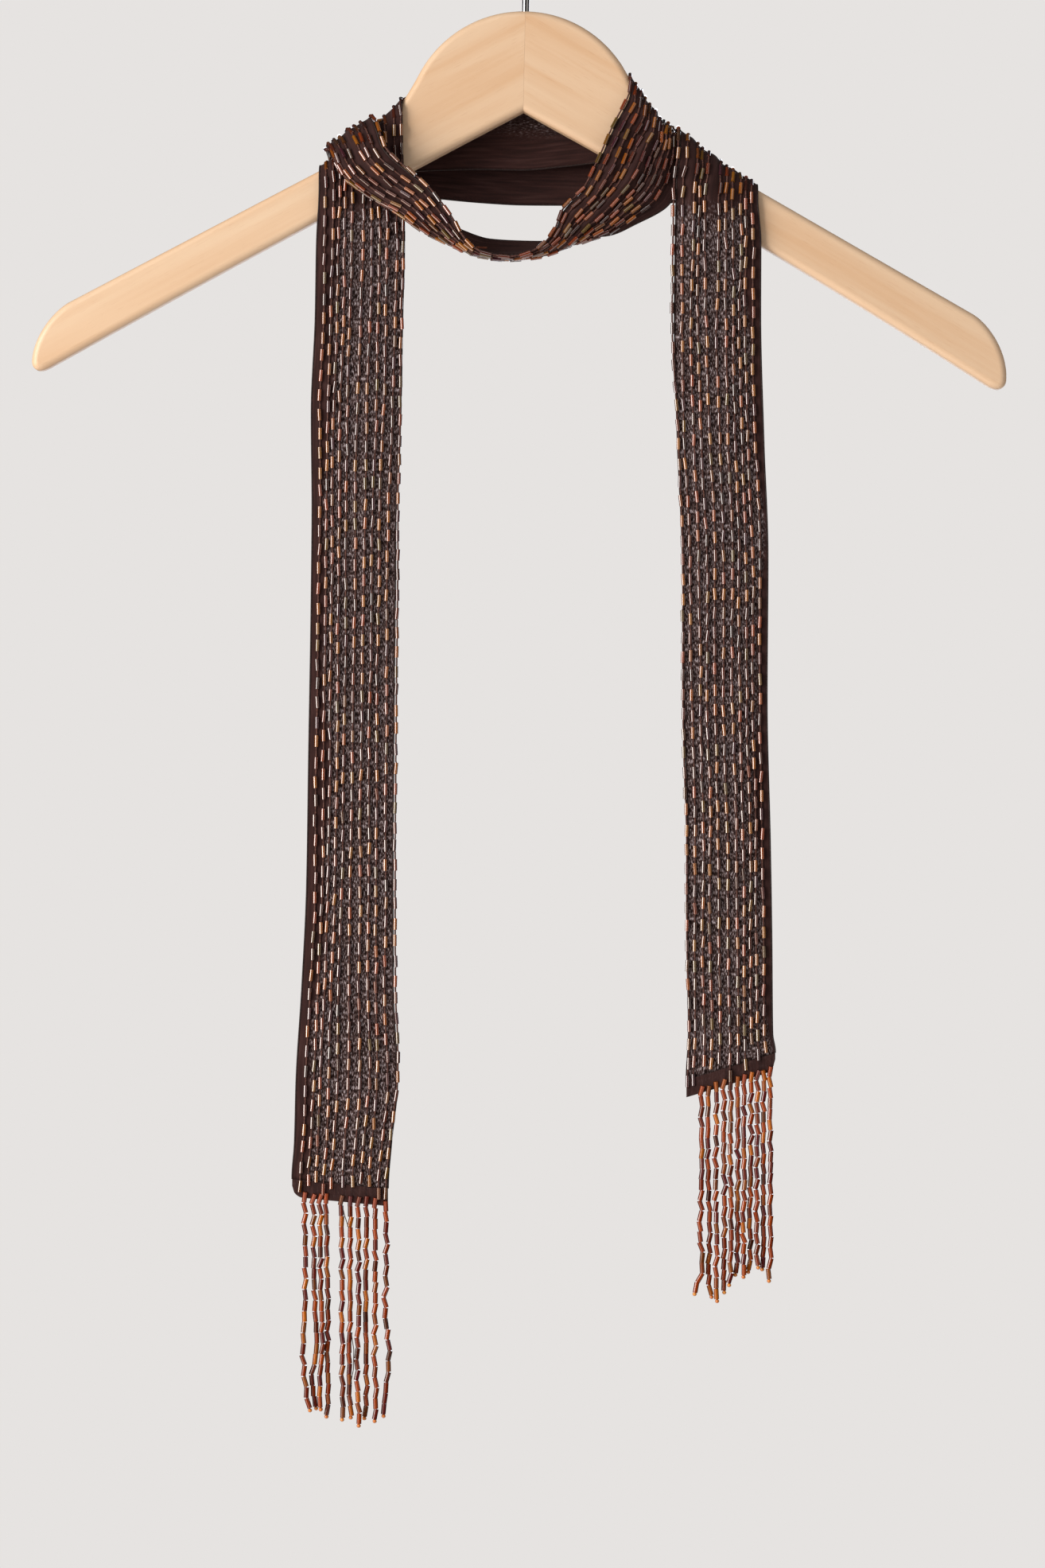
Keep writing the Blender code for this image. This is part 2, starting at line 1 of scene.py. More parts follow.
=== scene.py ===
# %% [markdown]
# # A beaded skinny scarf on a coat hanger
# A narrow strip of crepe chiffon, sewn with eleven lengthwise rows of bugle beads and ended with two
# beaded fringes, is wound once round the neck of a wooden hanger. The CAD frame gives its solid forms.
# This lesson dresses them: a thin cloth that follows the solids, the beads and their thread, the
# fringes, the maple board and the chrome hook. All sizes below are in millimetres on the real thing.

# %% Load the frame
import math

import bpy
import numpy as np
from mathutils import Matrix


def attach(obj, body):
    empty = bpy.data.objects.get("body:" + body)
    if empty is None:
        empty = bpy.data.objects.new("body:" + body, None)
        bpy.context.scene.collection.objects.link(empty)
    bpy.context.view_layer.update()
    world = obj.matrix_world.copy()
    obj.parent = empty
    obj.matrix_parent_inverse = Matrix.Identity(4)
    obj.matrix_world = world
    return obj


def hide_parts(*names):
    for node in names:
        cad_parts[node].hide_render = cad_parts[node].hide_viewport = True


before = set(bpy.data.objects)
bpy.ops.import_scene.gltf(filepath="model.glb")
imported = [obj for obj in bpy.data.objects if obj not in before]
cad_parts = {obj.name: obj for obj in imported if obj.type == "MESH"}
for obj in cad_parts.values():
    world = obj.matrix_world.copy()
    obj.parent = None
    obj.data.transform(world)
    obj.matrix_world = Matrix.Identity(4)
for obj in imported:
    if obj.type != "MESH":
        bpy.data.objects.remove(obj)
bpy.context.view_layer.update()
MM = 0.001

# %% [markdown]
# ## Camera
# The scarf is seen straight from the front, a few degrees of perspective at most, so the camera stands
# 2.2 m off with a long lens. It is turned by one degree, because the two arms of the hanger then
# come out equally long.

# %% Camera
PICTURE_HEIGHT = 1971
MM_PER_PIXEL = 0.3627
CAMERA_DISTANCE = 2200.0
CAMERA_PLACE = (35.8, -2205.7, -414.7)
CAMERA_TURN = 1.0
SENSOR = 36.0

eye = bpy.data.cameras.new("camera")
camera = bpy.data.objects.new("camera", eye)
bpy.context.collection.objects.link(camera)
camera.location = [place * MM for place in CAMERA_PLACE]
camera.rotation_euler = (math.radians(90), 0, math.radians(CAMERA_TURN))
eye.sensor_fit = "VERTICAL"
eye.sensor_height = SENSOR
eye.lens = SENSOR * CAMERA_DISTANCE / (MM_PER_PIXEL * PICTURE_HEIGHT)
bpy.context.scene.camera = camera
print("lens:", round(eye.lens, 1), "mm")

# %% [markdown]
# ## Colours and nodes
# Colours are written as the hex codes that a paint chart or a picture shows, and shaders want light
# values, so one function turns the first into the second. A second function adds any node with its
# settings and its links in one call, which keeps every material below short.

# %% Colours and nodes
def linear(code, alpha=1.0):
    """An sRGB colour written as a hex code, as the linear values a shader needs."""
    values = [int(code[i : i + 2], 16) / 255 for i in (0, 2, 4)]
    toned = [v / 12.92 if v <= 0.04045 else ((v + 0.055) / 1.055) ** 2.4 for v in values]
    return (*toned, alpha)


def add_node(tree, kind, inputs=None, **settings):
    """Adds a node, sets its settings, and gives each listed socket a value or a link."""
    made = tree.nodes.new(kind)
    for name, value in settings.items():
        setattr(made, name, value)
    for key, value in (inputs or {}).items():
        if isinstance(value, bpy.types.NodeSocket):
            tree.links.new(value, made.inputs[key])
        else:
            made.inputs[key].default_value = value
    return made


print("mid grey 808080 as a light value:", round(linear("808080")[0], 3))

# %% [markdown]
# ## Light
# The main light is one very wide soft panel at the left. It reaches from beside the camera to beside
# the hanger, because it has to fill the left half of every bead's round side with a white stripe. A
# dimmer panel continues it below, so the beads near the hems shine less than those above. Glossy
# surfaces see a dim room round it, which keeps the other side of each bead dark.

# %% Surround and lamps
WALL_PALE, ROOM_PALE = "e6e3e1", "f2eeea"
ROOM_SEEN, ROOM_LIGHT, ROOM_REFLECTED = 1.0, 0.36, 0.04
LAMP_FIELDS = ("turn", "distance", "height", "width", "tall", "radiance", "colour", "tipped")
LAMPS = {
    "wide_panel_left": (-54.0, 2.4, 0.25, 1.65, 1.8, 6.5, "fffaf4", False),
    "low_panel_left": (-54.0, 1.6, -0.86, 1.5, 0.86, 2.2, "fff0e0", False),
    "fill_right": (48.0, 2.3, 0.1, 1.4, 2.0, 0.5, "fff6ec", False),
    "top": (-8.0, 1.7, 1.7, 1.5, 1.0, 1.2, "ffffff", True),
    "behind": (168.0, 2.4, 0.1, 2.2, 1.8, 1.8, "f4f6ff", False),
}

world = bpy.data.worlds.new("studio")
bpy.context.scene.world = world
world.use_nodes = True
sky = world.node_tree
sky.nodes.clear()
seen = add_node(sky, "ShaderNodeBackground", {"Color": linear(WALL_PALE), "Strength": ROOM_SEEN})
around = add_node(sky, "ShaderNodeBackground", {"Color": linear(ROOM_PALE), "Strength": ROOM_LIGHT})
mirrored = add_node(sky, "ShaderNodeBackground", {"Color": linear(ROOM_PALE), "Strength": ROOM_REFLECTED})
ray = add_node(sky, "ShaderNodeLightPath")
unseen = add_node(
    sky,
    "ShaderNodeMixShader",
    {0: ray.outputs["Is Glossy Ray"], 1: around.outputs[0], 2: mirrored.outputs[0]},
)
both = add_node(
    sky,
    "ShaderNodeMixShader",
    {0: ray.outputs["Is Camera Ray"], 1: unseen.outputs[0], 2: seen.outputs[0]},
)
add_node(sky, "ShaderNodeOutputWorld", {"Surface": both.outputs[0]})


def hang_lamp(name, turn, distance, height, width, tall, radiance, colour, tipped):
    """A soft panel round the hanger, turned from the front, upright or tipped to face the origin."""
    light = bpy.data.lights.new(name, "AREA")
    light.shape = "RECTANGLE"
    light.size, light.size_y = width, tall
    light.energy = radiance * math.pi * width * tall
    light.color = linear(colour)[:3]
    lamp = bpy.data.objects.new(name, light)
    bpy.context.collection.objects.link(lamp)
    angle = math.radians(turn)
    lamp.location = (distance * math.sin(angle), -distance * math.cos(angle), height)
    tip = math.radians(90) - (math.atan2(height, distance) if tipped else 0.0)
    lamp.rotation_euler = (tip, 0, angle)


for name, row in LAMPS.items():
    hang_lamp(name, **dict(zip(LAMP_FIELDS, row)))

bpy.context.scene.view_settings.view_transform = "Standard"
print("lamps:", ", ".join(LAMPS))

# %% [markdown]
# ## Floor
# The scarf hangs high over a plain painted floor, which is only there to send some pale light back
# up. It is a single square, painted with an ordinary matt white.

# %% Floor
FLOOR_HEIGHT = -1.5
FLOOR_HALF = 1.6
FLOOR_PALE, FLOOR_ROUGHNESS = "f2f0ee", 0.8

plane = bpy.data.meshes.new("floor")
corners = [(x * FLOOR_HALF, y * FLOOR_HALF, FLOOR_HEIGHT) for x, y in ((-1, -1), (1, -1), (1, 1), (-1, 1))]
plane.from_pydata(corners, [], [(0, 1, 2, 3)])
floor = bpy.data.objects.new("floor", plane)
bpy.context.collection.objects.link(floor)
pale = bpy.data.materials.new("floor_paint")
pale.use_nodes = True
paint = pale.node_tree.nodes["Principled BSDF"]
paint.inputs["Base Color"].default_value = linear(FLOOR_PALE)
paint.inputs["Roughness"].default_value = FLOOR_ROUGHNESS
plane.materials.append(pale)
print("floor height:", FLOOR_HEIGHT, "m")

# %% [markdown]
# ## Chiffon
# Crepe chiffon is woven from hard twisted yarn, so its surface is a fine irregular crinkle. The cloth
# is sheer, and the pale room that would show through one layer of it is painted into its colour as a
# grey lilac fleck between dark yarns: painted light, not transparency. Where it is doubled, or lies
# on wood, it is plain dark brown. An attribute says how much of this painted fleck each place has,
# and the pattern runs in millimetres on the cloth's own UV map, so it follows every turn of the strip.

# %% Chiffon material
def new_material(name):
    """A material with an empty tree that ends in a Principled shader."""
    material = bpy.data.materials.new(name)
    material.use_nodes = True
    tree = material.node_tree
    tree.nodes.clear()
    shader = add_node(tree, "ShaderNodeBsdfPrincipled")
    add_node(tree, "ShaderNodeOutputMaterial", {"Surface": shader.outputs[0]})
    return material, tree, shader


def ramp(tree, factor, stops):
    """A colour ramp from (position, hex) stops."""
    made = add_node(tree, "ShaderNodeValToRGB", {"Fac": factor})
    elements = made.color_ramp.elements
    while len(elements) < len(stops):
        elements.new(0.5)
    for element, (position, code) in zip(elements, stops):
        element.position = position
        element.color = linear(code)
    return made.outputs["Color"]


def math_node(tree, operation, *values):
    """A math node of values and sockets, as its output."""
    made = add_node(tree, "ShaderNodeMath", operation=operation)
    for socket, value in zip(made.inputs, values):
        if isinstance(value, bpy.types.NodeSocket):
            tree.links.new(value, socket)
        else:
            socket.default_value = value
    return made.outputs[0]


FLECK_ACROSS, FLECK_ALONG = 0.5, 1.7
FLECK_DEPTH = 0.05
BROAD_SCALE = 0.09
CRINKLE, CRINKLE_HEIGHT = 0.45, 0.15
CROSS_LINES, CROSS_LINE_LENGTH = 1.4, 20.0


def crepe_chiffon():
    """Matt, very dark brown, with a broken lengthwise fleck of painted see-through light where it is sheer.
    """
    material, tree, shader = new_material("crepe_chiffon")
    place = add_node(tree, "ShaderNodeUVMap", uv_map="cloth").outputs[0]
    stretched = add_node(
        tree, "ShaderNodeMapping", {"Vector": place, "Scale": (1 / FLECK_ACROSS, 1 / FLECK_ALONG, 1.0)}
    ).outputs[0]
    fleck = add_node(
        tree,
        "ShaderNodeTexNoise",
        {"Vector": stretched, "Scale": 1.0, "Detail": 2.0, "Roughness": 0.55},
    ).outputs[0]
    broad = add_node(
        tree, "ShaderNodeTexNoise", {"Vector": place, "Scale": BROAD_SCALE, "Detail": 2.0}
    ).outputs[0]
    painted_light_fleck = add_node(tree, "ShaderNodeAttribute", attribute_name="painted_light_fleck").outputs["Fac"]
    spread = math_node(
        tree, "MULTIPLY_ADD", broad, 2 * FLECK_DEPTH, math_node(tree, "SUBTRACT", fleck, FLECK_DEPTH)
    )
    # Painted light: the pale stops stand for the room seen through the weave, painted into the colour.
    painted_light_colour = ramp(
        tree,
        spread,
        ((0.40, "1c0d0a"), (0.49, "3c2a28"), (0.57, "6e5e5e"), (0.66, "b0a6ac")),
    )
    drawn_out = add_node(
        tree,
        "ShaderNodeMapping",
        {"Vector": place, "Scale": (1 / CROSS_LINES, 1 / CROSS_LINE_LENGTH, 1.0)},
    ).outputs[0]
    lines = add_node(
        tree, "ShaderNodeTexNoise", {"Vector": drawn_out, "Scale": 1.0, "Detail": 2.0}
    ).outputs[0]
    plain = ramp(tree, lines, ((0.35, "2d1a19"), (0.55, "38211f"), (0.75, "442d2b")))
    colour = add_node(tree, "ShaderNodeMix", {0: painted_light_fleck, 6: plain, 7: painted_light_colour}, data_type="RGBA")
    crinkle = add_node(
        tree, "ShaderNodeTexNoise", {"Vector": place, "Scale": 1 / CRINKLE, "Detail": 2.0}
    ).outputs[0]
    relief = add_node(
        tree, "ShaderNodeBump", {"Height": crinkle, "Strength": 0.35, "Distance": CRINKLE_HEIGHT * MM}
    ).outputs[0]
    tree.links.new(colour.outputs[2], shader.inputs["Base Color"])
    tree.links.new(relief, shader.inputs["Normal"])
    shader.inputs["Roughness"].default_value = 0.78
    shader.inputs["Sheen Weight"].default_value = 0.04
    shader.inputs["Specular IOR Level"].default_value = 0.15
    return material


chiffon = crepe_chiffon()
print("material:", chiffon.name)

# %% [markdown]
# ## Glass beads
# Bugle beads are cut from drawn glass tube. These are brown glass with an iridescent coat, so each
# one has its own tint of copper, amber, plum or dark brown, under a clear hard gloss that takes a
# narrow white highlight. Towards its edges each bead's colour turns dark: painted shade where the
# glass wall is seen edge on. The fringe's beads hang free with light behind them, so they look
# warmer and lighter. A tint attribute, one random number a bead, chooses the colour. The threads are
# spun polyester, and the rolled edge is twisted chiffon: both are matt fibre with a fine uneven
# sheen, which is painted into their colour.

# %% Bead, thread and hem materials
def bead_glass(name, stops, painted_rim_shade, blend, coat_index):
    """Coated glass: the tint in the middle, painted shade as a dark rim where the wall is seen edge on, a
    hard gloss.
    """
    material, tree, shader = new_material(name)
    tint = add_node(tree, "ShaderNodeAttribute", attribute_name="tint").outputs["Fac"]
    # Painted shade: the colour turns to the rim colour where the surface is seen edge on.
    edge = add_node(tree, "ShaderNodeLayerWeight", {"Blend": blend}).outputs["Facing"]
    body = add_node(
        tree, "ShaderNodeMix", {0: edge, 6: ramp(tree, tint, stops), 7: linear(painted_rim_shade)}, data_type="RGBA"
    )
    tree.links.new(body.outputs[2], shader.inputs["Base Color"])
    shader.inputs["Roughness"].default_value = 0.16
    shader.inputs["IOR"].default_value = 1.45
    shader.inputs["Coat Weight"].default_value = 1.0
    shader.inputs["Coat Roughness"].default_value = 0.06
    shader.inputs["Coat IOR"].default_value = coat_index
    return material


SEWN_TINTS = (
    (0.0, "2c0e08"), (0.18, "5c2410"), (0.34, "8a380f"), (0.48, "96560f"), (0.6, "541c0c"),
    (0.72, "431a26"), (0.8, "5c440f"), (0.9, "9c5c12"), (1.0, "34140a"),
)
STRUNG_TINTS = (
    (0.0, "401404"), (0.2, "8a3004"), (0.4, "a04006"), (0.55, "6a1c04"), (0.7, "5a1618"),
    (0.85, "bc6410"), (1.0, "3a1004"),
)
# The colour after the tints is the painted rim shade; the number after it sets how far in it reaches.
sewn_glass = bead_glass("iridescent_bugle_glass", SEWN_TINTS, "160806", 0.32, 2.15)
strung_glass = bead_glass("amber_bugle_glass", STRUNG_TINTS, "180501", 0.5, 1.5)
drop_glass = bead_glass("golden_drop_glass", ((0.0, "d0701c"), (1.0, "f0a040")), "7a3410", 0.3, 1.6)


TWISTS_A_METRE = 1400.0


def twisted_fibre(name, dark, light):
    """Spun fibre, as in sewing thread or a rolled edge of chiffon, with a painted sheen broken by its
    twist.
    """
    material, tree, shader = new_material(name)
    place = add_node(tree, "ShaderNodeTexCoord").outputs["Object"]
    painted_twist_sheen = add_node(tree, "ShaderNodeTexNoise", {"Vector": place, "Scale": TWISTS_A_METRE, "Detail": 2.0})
    tree.links.new(
        ramp(tree, painted_twist_sheen.outputs[0], ((0.35, dark), (0.7, light))), shader.inputs["Base Color"]
    )
    shader.inputs["Roughness"].default_value = 0.6
    shader.inputs["Specular IOR Level"].default_value = 0.3
    return material


# The second colour of each is the painted sheen of the twist.
brown_thread = twisted_fibre("brown_sewing_thread", "3c2320", "6a443a")
dark_thread = twisted_fibre("dark_beading_thread", "1c1413", "4a4040")
rolled_cloth = twisted_fibre("rolled_chiffon_edge", "1c100f", "3a2826")
fine_materials = (sewn_glass, strung_glass, drop_glass, brown_thread, dark_thread, rolled_cloth)
print("bead and thread materials:", ", ".join(material.name for material in fine_materials))

# %% [markdown]
# ## Maple and chrome
# The hanger's board is flat sawn maple under a clear satin lacquer: pale, with a faint grain that
# runs along each arm, so the two halves meet at an angle in the middle. The hook is steel wire with
# polished chrome plating. Both are made anew from the solids' own outlines with finer steps, so
# that their round edges shade smoothly.

# %% Maple material
GRAIN_ACROSS, GRAIN_ALONG = 2.2, 60.0
PORE, PORE_LENGTH = 0.5, 9.0


def lacquered_maple(side, slope):
    """Pale, close grained and satin: streaks along the arm, with sparse darker pores."""
    material, tree, shader = new_material("lacquered_maple_" + side)
    place = add_node(tree, "ShaderNodeTexCoord").outputs["Object"]
    turned = add_node(
        tree, "ShaderNodeMapping", {"Vector": place, "Rotation": (0.0, math.radians(slope), 0.0)}
    ).outputs[0]

    def streaks(across, along, detail, distortion):
        """Noise drawn out along the arm, by sizes in millimetres."""
        scaled = add_node(
            tree,
            "ShaderNodeMapping",
            {"Vector": turned, "Scale": (1 / (along * MM), 1 / (across * MM), 1 / (across * MM))},
        ).outputs[0]
        noise = add_node(
            tree,
            "ShaderNodeTexNoise",
            {"Vector": scaled, "Scale": 1.0, "Detail": detail, "Distortion": distortion},
        )
        return noise.outputs[0]

    broad = streaks(GRAIN_ACROSS * 7, GRAIN_ALONG * 3, 3.0, 0.6)
    fine = streaks(GRAIN_ACROSS, GRAIN_ALONG, 2.0, 0.2)
    pores = streaks(PORE, PORE_LENGTH, 1.0, 0.0)
    base = ramp(tree, broad, ((0.3, "dab28c"), (0.5, "e1c09f"), (0.7, "e5c8a9")))
    lines = ramp(tree, fine, ((0.3, "d5ac85"), (0.5, "e0be9c"), (0.7, "e7cbad")))
    mixed = add_node(tree, "ShaderNodeMix", {0: 0.2, 6: base, 7: lines}, data_type="RGBA").outputs[2]
    specks = ramp(tree, pores, ((0.28, "c99a6c"), (0.36, "ffffff")))
    flecked = add_node(
        tree,
        "ShaderNodeMix",
        {0: 0.15, 6: mixed, 7: specks},
        data_type="RGBA",
        blend_type="MULTIPLY",
    ).outputs[2]
    tree.links.new(flecked, shader.inputs["Base Color"])
    relief = add_node(
        tree, "ShaderNodeBump", {"Height": fine, "Strength": 0.08, "Distance": 0.1 * MM}
    ).outputs[0]
    tree.links.new(relief, shader.inputs["Normal"])
    shader.inputs["Roughness"].default_value = 0.42
    shader.inputs["Coat Weight"].default_value = 0.25
    shader.inputs["Coat Roughness"].default_value = 0.25
    return material


def polished_chrome():
    """A mirror of bright bluish grey with the faint haze of handling."""
    material, tree, shader = new_material("polished_chrome_wire")
    place = add_node(tree, "ShaderNodeTexCoord").outputs["Object"]
    haze = add_node(tree, "ShaderNodeTexNoise", {"Vector": place, "Scale": 900.0, "Detail": 2.0})
    rough = add_node(
        tree, "ShaderNodeMapRange", {"Value": haze.outputs[0], "To Min": 0.05, "To Max": 0.11}
    ).outputs[0]
    tree.links.new(rough, shader.inputs["Roughness"])
    shader.inputs["Base Color"].default_value = linear("d4d5d8")
    shader.inputs["Metallic"].default_value = 1.0
    return material


ARM_SLOPES = {"hanger_left": 28.2, "hanger_right": -30.7}
maple = {name: lacquered_maple(name.split("_")[1], slope) for name, slope in ARM_SLOPES.items()}
chrome = polished_chrome()
print("maple for:", ", ".join(maple))

# %% [markdown]
# ## The strip as a surface
# The scarf is one long strip. Each row of the tables is a cut across it: the edge towards the
# hanger's neck, the middle or lowest fold, and the outer edge. Smooth curves through the rows make
# a surface that can be asked for a point at any distance along the cloth and any share of its
# width. Cloth, beads, thread and edges are all placed by it, so they stay together round every
# turn. The sizes and rows are the solids' own. Only the seams are closer here: the stretches of
# cloth and the board's halves nearly touch.

# %% Tables of the strip
BOARD_THICKNESS = 12.0
APEX_BELOW_BOW = 107.7
DOME_HEIGHT, DOME_RADIUS, DOME_END_ANGLE = 45.7, 53.7, 27.0
ARM_LENGTH, ARM_DROP, TILT, HALF_GAP = 254.0, 29.45, 1.2, 0.3
ARM_FIELDS = ("side", "root_width", "tip_width", "underside_bow")
ARMS = {"hanger_left": (-1, 19.2, 22.3, 0.8), "hanger_right": (1, 22.3, 24.9, 2.2)}
ARM_BLEND_END, TIP_LENGTH, TIP_FULLNESS, TIP_RADIUS = 84.0, 30.0, 1.7, 6.5
EDGE_ROUNDING, ROUND_STEPS = 3.0, 9
SEAM_GAP = 0.04
PLEATS, BAND_PLEAT, TAIL_CROWN = 3, 0.35, 0.8

TAIL_FIELDS = ("z", "lean", "outer_x", "outer_y", "neck_x", "neck_y")
LEFT_TAIL = (
    (-578.0, 0.0, -106.3, -9.8, -62.3, -9.8),
    (-550.0, 0.0, -105.6, -9.2, -59.6, -9.2),
    (-507.0, 0.0, -103.0, -8.4, -61.6, -8.4),
    (-463.0, 0.0, -100.9, -8.2, -61.7, -8.2),
    (-398.0, 0.0, -99.8, -9.0, -61.3, -9.0),
    (-333.0, 0.0, -98.7, -9.6, -60.6, -9.6),
    (-289.0, 0.0, -98.3, -9.0, -60.2, -9.0),
    (-246.0, 0.0, -98.7, -8.4, -58.1, -8.4),
    (-202.0, 0.0, -96.9, -8.4, -57.3, -8.4),
    (-164.0, 4.0, -96.3, -8.4, -56.4, -8.4),
)
RIGHT_TAIL = (
    (-140.0, 16.0, 104.9, -8.5, 67.6, -12.5),
    (-160.0, 8.0, 105.8, -8.6, 67.2, -11.0),
    (-201.0, 0.0, 105.7, -8.6, 66.7, -8.8),
    (-259.0, 0.0, 107.2, -8.4, 68.1, -8.4),
    (-311.0, 0.0, 109.0, -9.2, 70.3, -9.2),
    (-376.0, 0.0, 108.6, -9.8, 71.0, -9.8),
    (-442.0, 0.0, 110.1, -9.0, 72.8, -9.0),
    (-485.0, 0.0, 110.8, -8.4, 72.4, -8.4),
    (-528.0, 0.0, 111.2, -8.8, 73.1, -8.8),
)
HEM_HEIGHT = 8.0
HEM_FIELDS = ("outer_x", "outer_z", "neck_x", "neck_z", "y")
LEFT_HEM = (-107.4, -602.6, -63.8, -606.8, -10.2)
RIGHT_HEM = (112.4, -545.0, 72.1, -557.2, -9.4)

CROSSING_FIELDS = (
    "neck_x", "fold_x", "outer_x", "neck_radius", "fold_radius", "outer_radius", "sway",
)
LEFT_UNDER = (-57.6, -76.4, -95.1, 8.4, 8.6, 8.4, 0.0)
LEFT_OVER = (-72.9, -91.0, -79.5, 16.2, 15.2, 14.0, 4.5)
RIGHT_INNER = (46.8, 58.5, 70.2, 8.2, 8.6, 7.9, 0.0)
RIGHT_OUTER = (69.2, 87.2, 104.4, 11.8, 9.2, 8.4, 0.0)
NECK_ANGLES = (0.0, 22.0, 44.0, 66.0, 88.0, 104.0, 116.0)
OUTER_ANGLES = (0.0, 26.0, 52.0, 78.0, 104.0, 130.0, 152.0)

BAND_FIELDS = ("neck_x", "neck_z", "outer_x", "outer_z", "y", "belly")
INNER_BAND = (
    (-48.5, -95.0, -66.0, -134.6, 9.0, 0.5),
    (-37.5, -92.7, -45.6, -132.8, 9.6, 1.0),
    (-19.4, -91.5, -21.9, -132.2, 10.8, 1.2),
    (-2.9, -91.1, -2.9, -132.4, 11.4, 1.2),
    (14.7, -90.4, 17.2, -130.8, 10.8, 1.2),
    (33.0, -89.4, 38.6, -128.4, 9.6, 1.0),
)
OUTER_BAND = (
    (-60.5, -108.7, -74.0, -141.0, 15.6, 2.4),
    (-41.5, -107.6, -44.1, -144.6, 16.4, 1.8),
    (-22.1, -107.7, -22.1, -146.6, 17.6, 1.4),
    (-3.1, -108.0, -3.1, -147.6, 18.4, 1.2),
    (16.4, -108.5, 18.2, -147.8, 18.0, 1.2),
    (38.4, -109.2, 43.9, -147.4, 16.8, 1.2),
    (60.0, -111.6, 70.0, -147.0, 14.6, 0.8),
)
SWAG_FIELDS = ("neck", "fold", "outer", "pleat")
SWAG = (
    ((39.8, -9.6, -115.4), (55.4, -11.0, -126.2), (69.4, -8.2, -138.0), 0.7),
    ((33.0, -11.4, -131.0), (49.6, -14.0, -140.4), (64.4, -10.4, -150.6), 0.9),
    ((25.7, -14.4, -145.4), (38.4, -17.4, -153.7), (49.2, -13.4, -160.1), 0.9),
    ((16.7, -18.4, -155.0), (28.3, -20.4, -162.9), (35.2, -12.6, -165.4), 0.7),
    ((12.0, -23.0, -166.0), (18.6, -21.0, -169.8), (20.6, -8.4, -166.0), 0.4),
    ((4.4, -27.0, -172.8), (7.6, -19.4, -173.6), (8.4, -5.4, -167.2), 0.3),
    ((-8.3, -30.0, -176.2), (-8.5, -19.0, -175.2), (-6.6, -4.4, -166.8), 0.3),
    ((-20.4, -29.4, -174.2), (-22.9, -19.0, -173.8), (-17.6, -4.4, -166.0), 0.3),
    ((-28.0, -28.0, -168.6), (-33.3, -19.0, -169.4), (-29.0, -6.4, -162.6), 0.4),
    ((-35.6, -25.6, -157.6), (-46.4, -19.0, -163.6), (-42.0, -9.6, -155.9), 0.5),
    ((-46.6, -22.6, -144.0), (-61.0, -18.4, -153.4), (-53.6, -13.4, -146.6), 0.6),
    ((-54.4, -21.0, -137.6), (-71.0, -17.6, -147.4), (-60.6, -13.6, -141.0), 0.6),
    ((-66.0, -18.8, -126.0), (-82.6, -16.8, -138.4), (-73.6, -13.8, -130.6), 0.4),
)
row_tables = (LEFT_TAIL, RIGHT_TAIL, SWAG, INNER_BAND, OUTER_BAND)
print("rows in the tables:", sum(len(table) for table in row_tables))

# %% [markdown]
# ## Curves through the rows
# A curve through many points easily swings past them. Cloth under its own weight doesn't, so the
# tangents are limited: where the rows turn back, the curve is level, and elsewhere it takes a
# weighted mean of the slopes on both sides.

# %% Curves through the rows
def unit(vectors):
    """The same directions with a length of one."""
    return vectors / np.maximum(np.linalg.norm(vectors, axis=-1, keepdims=True), 1e-9)


def slopes(places, values):
    """Tangents that keep a curve through the values free of overshoot."""
    steps = np.diff(places)[:, None]
    rises = np.diff(values, axis=0) / steps
    result = np.zeros_like(values)
    result[0], result[-1] = rises[0], rises[-1]
    before, after = rises[:-1], rises[1:]
    near, far = steps[:-1], steps[1:]
    alike = before * after > 0
    safe_before = np.where(alike, before, 1.0)
    safe_after = np.where(alike, after, 1.0)
    mean = 3 * (near + far) / ((2 * far + near) / safe_before + (far + 2 * near) / safe_after)
    result[1:-1] = np.where(alike, mean, 0.0)
    return result


def along(places, values, at):
    """The smooth curve through values at places, read at the given distances."""
    tangents = slopes(places, values)
    index = np.clip(np.searchsorted(places, at, side="right") - 1, 0, len(places) - 2)
    step = (places[index + 1] - places[index])[:, None]
    t = ((at - places[index]) / step[:, 0])[:, None]
    start, end = values[index], values[index + 1]
    leave, arrive = tangents[index] * step, tangents[index + 1] * step
    return (
        start * (2 * t**3 - 3 * t**2 + 1)
        + leave * (t**3 - 2 * t**2 + t)
        + end * (-2 * t**3 + 3 * t**2)
        + arrive * (t**3 - t**2)
    )


def curve_through(p0, p1, p2, p3, count):
    """Points of a Bezier arc, ends included."""
    t = np.linspace(0, 1, count)[:, None]
    p0, p1, p2, p3 = (np.array(p, float) for p in (p0, p1, p2, p3))
    return p0 * (1 - t) ** 3 + 3 * p1 * t * (1 - t) ** 2 + 3 * p2 * t**2 * (1 - t) + p3 * t**3


def named(fields, rows):
    """The rows of a table, each as a dictionary of its columns."""
    return [dict(zip(fields, row)) for row in rows]


trial = along(np.arange(3.0), np.array([[0.0], [1.0], [1.0]]), np.linspace(0.0, 2.0, 9))
print("highest point of a curve through 0, 1 and 1:", round(float(trial.max()), 3))

# %% [markdown]
# ## The board's outline
# Each half of the hanger starts as a flat outline: an arc for the dome, a smooth blend into the
# shoulder, a straight arm that widens a little, a rounded tip, and a bowed underside up to the V in
# the middle. Its top is also where the cloth lies, so it is worked out before the cloth.

# %% The board's outline
DOME_POINTS, SHOULDER_POINTS, TIP_POINTS, CORNER_POINTS, UNDERSIDE_POINTS = 33, 21, 33, 12, 25
DOME_PULL, SHOULDER_PULL = 17.0, 20.0
UNDERSIDE_START = 0.86


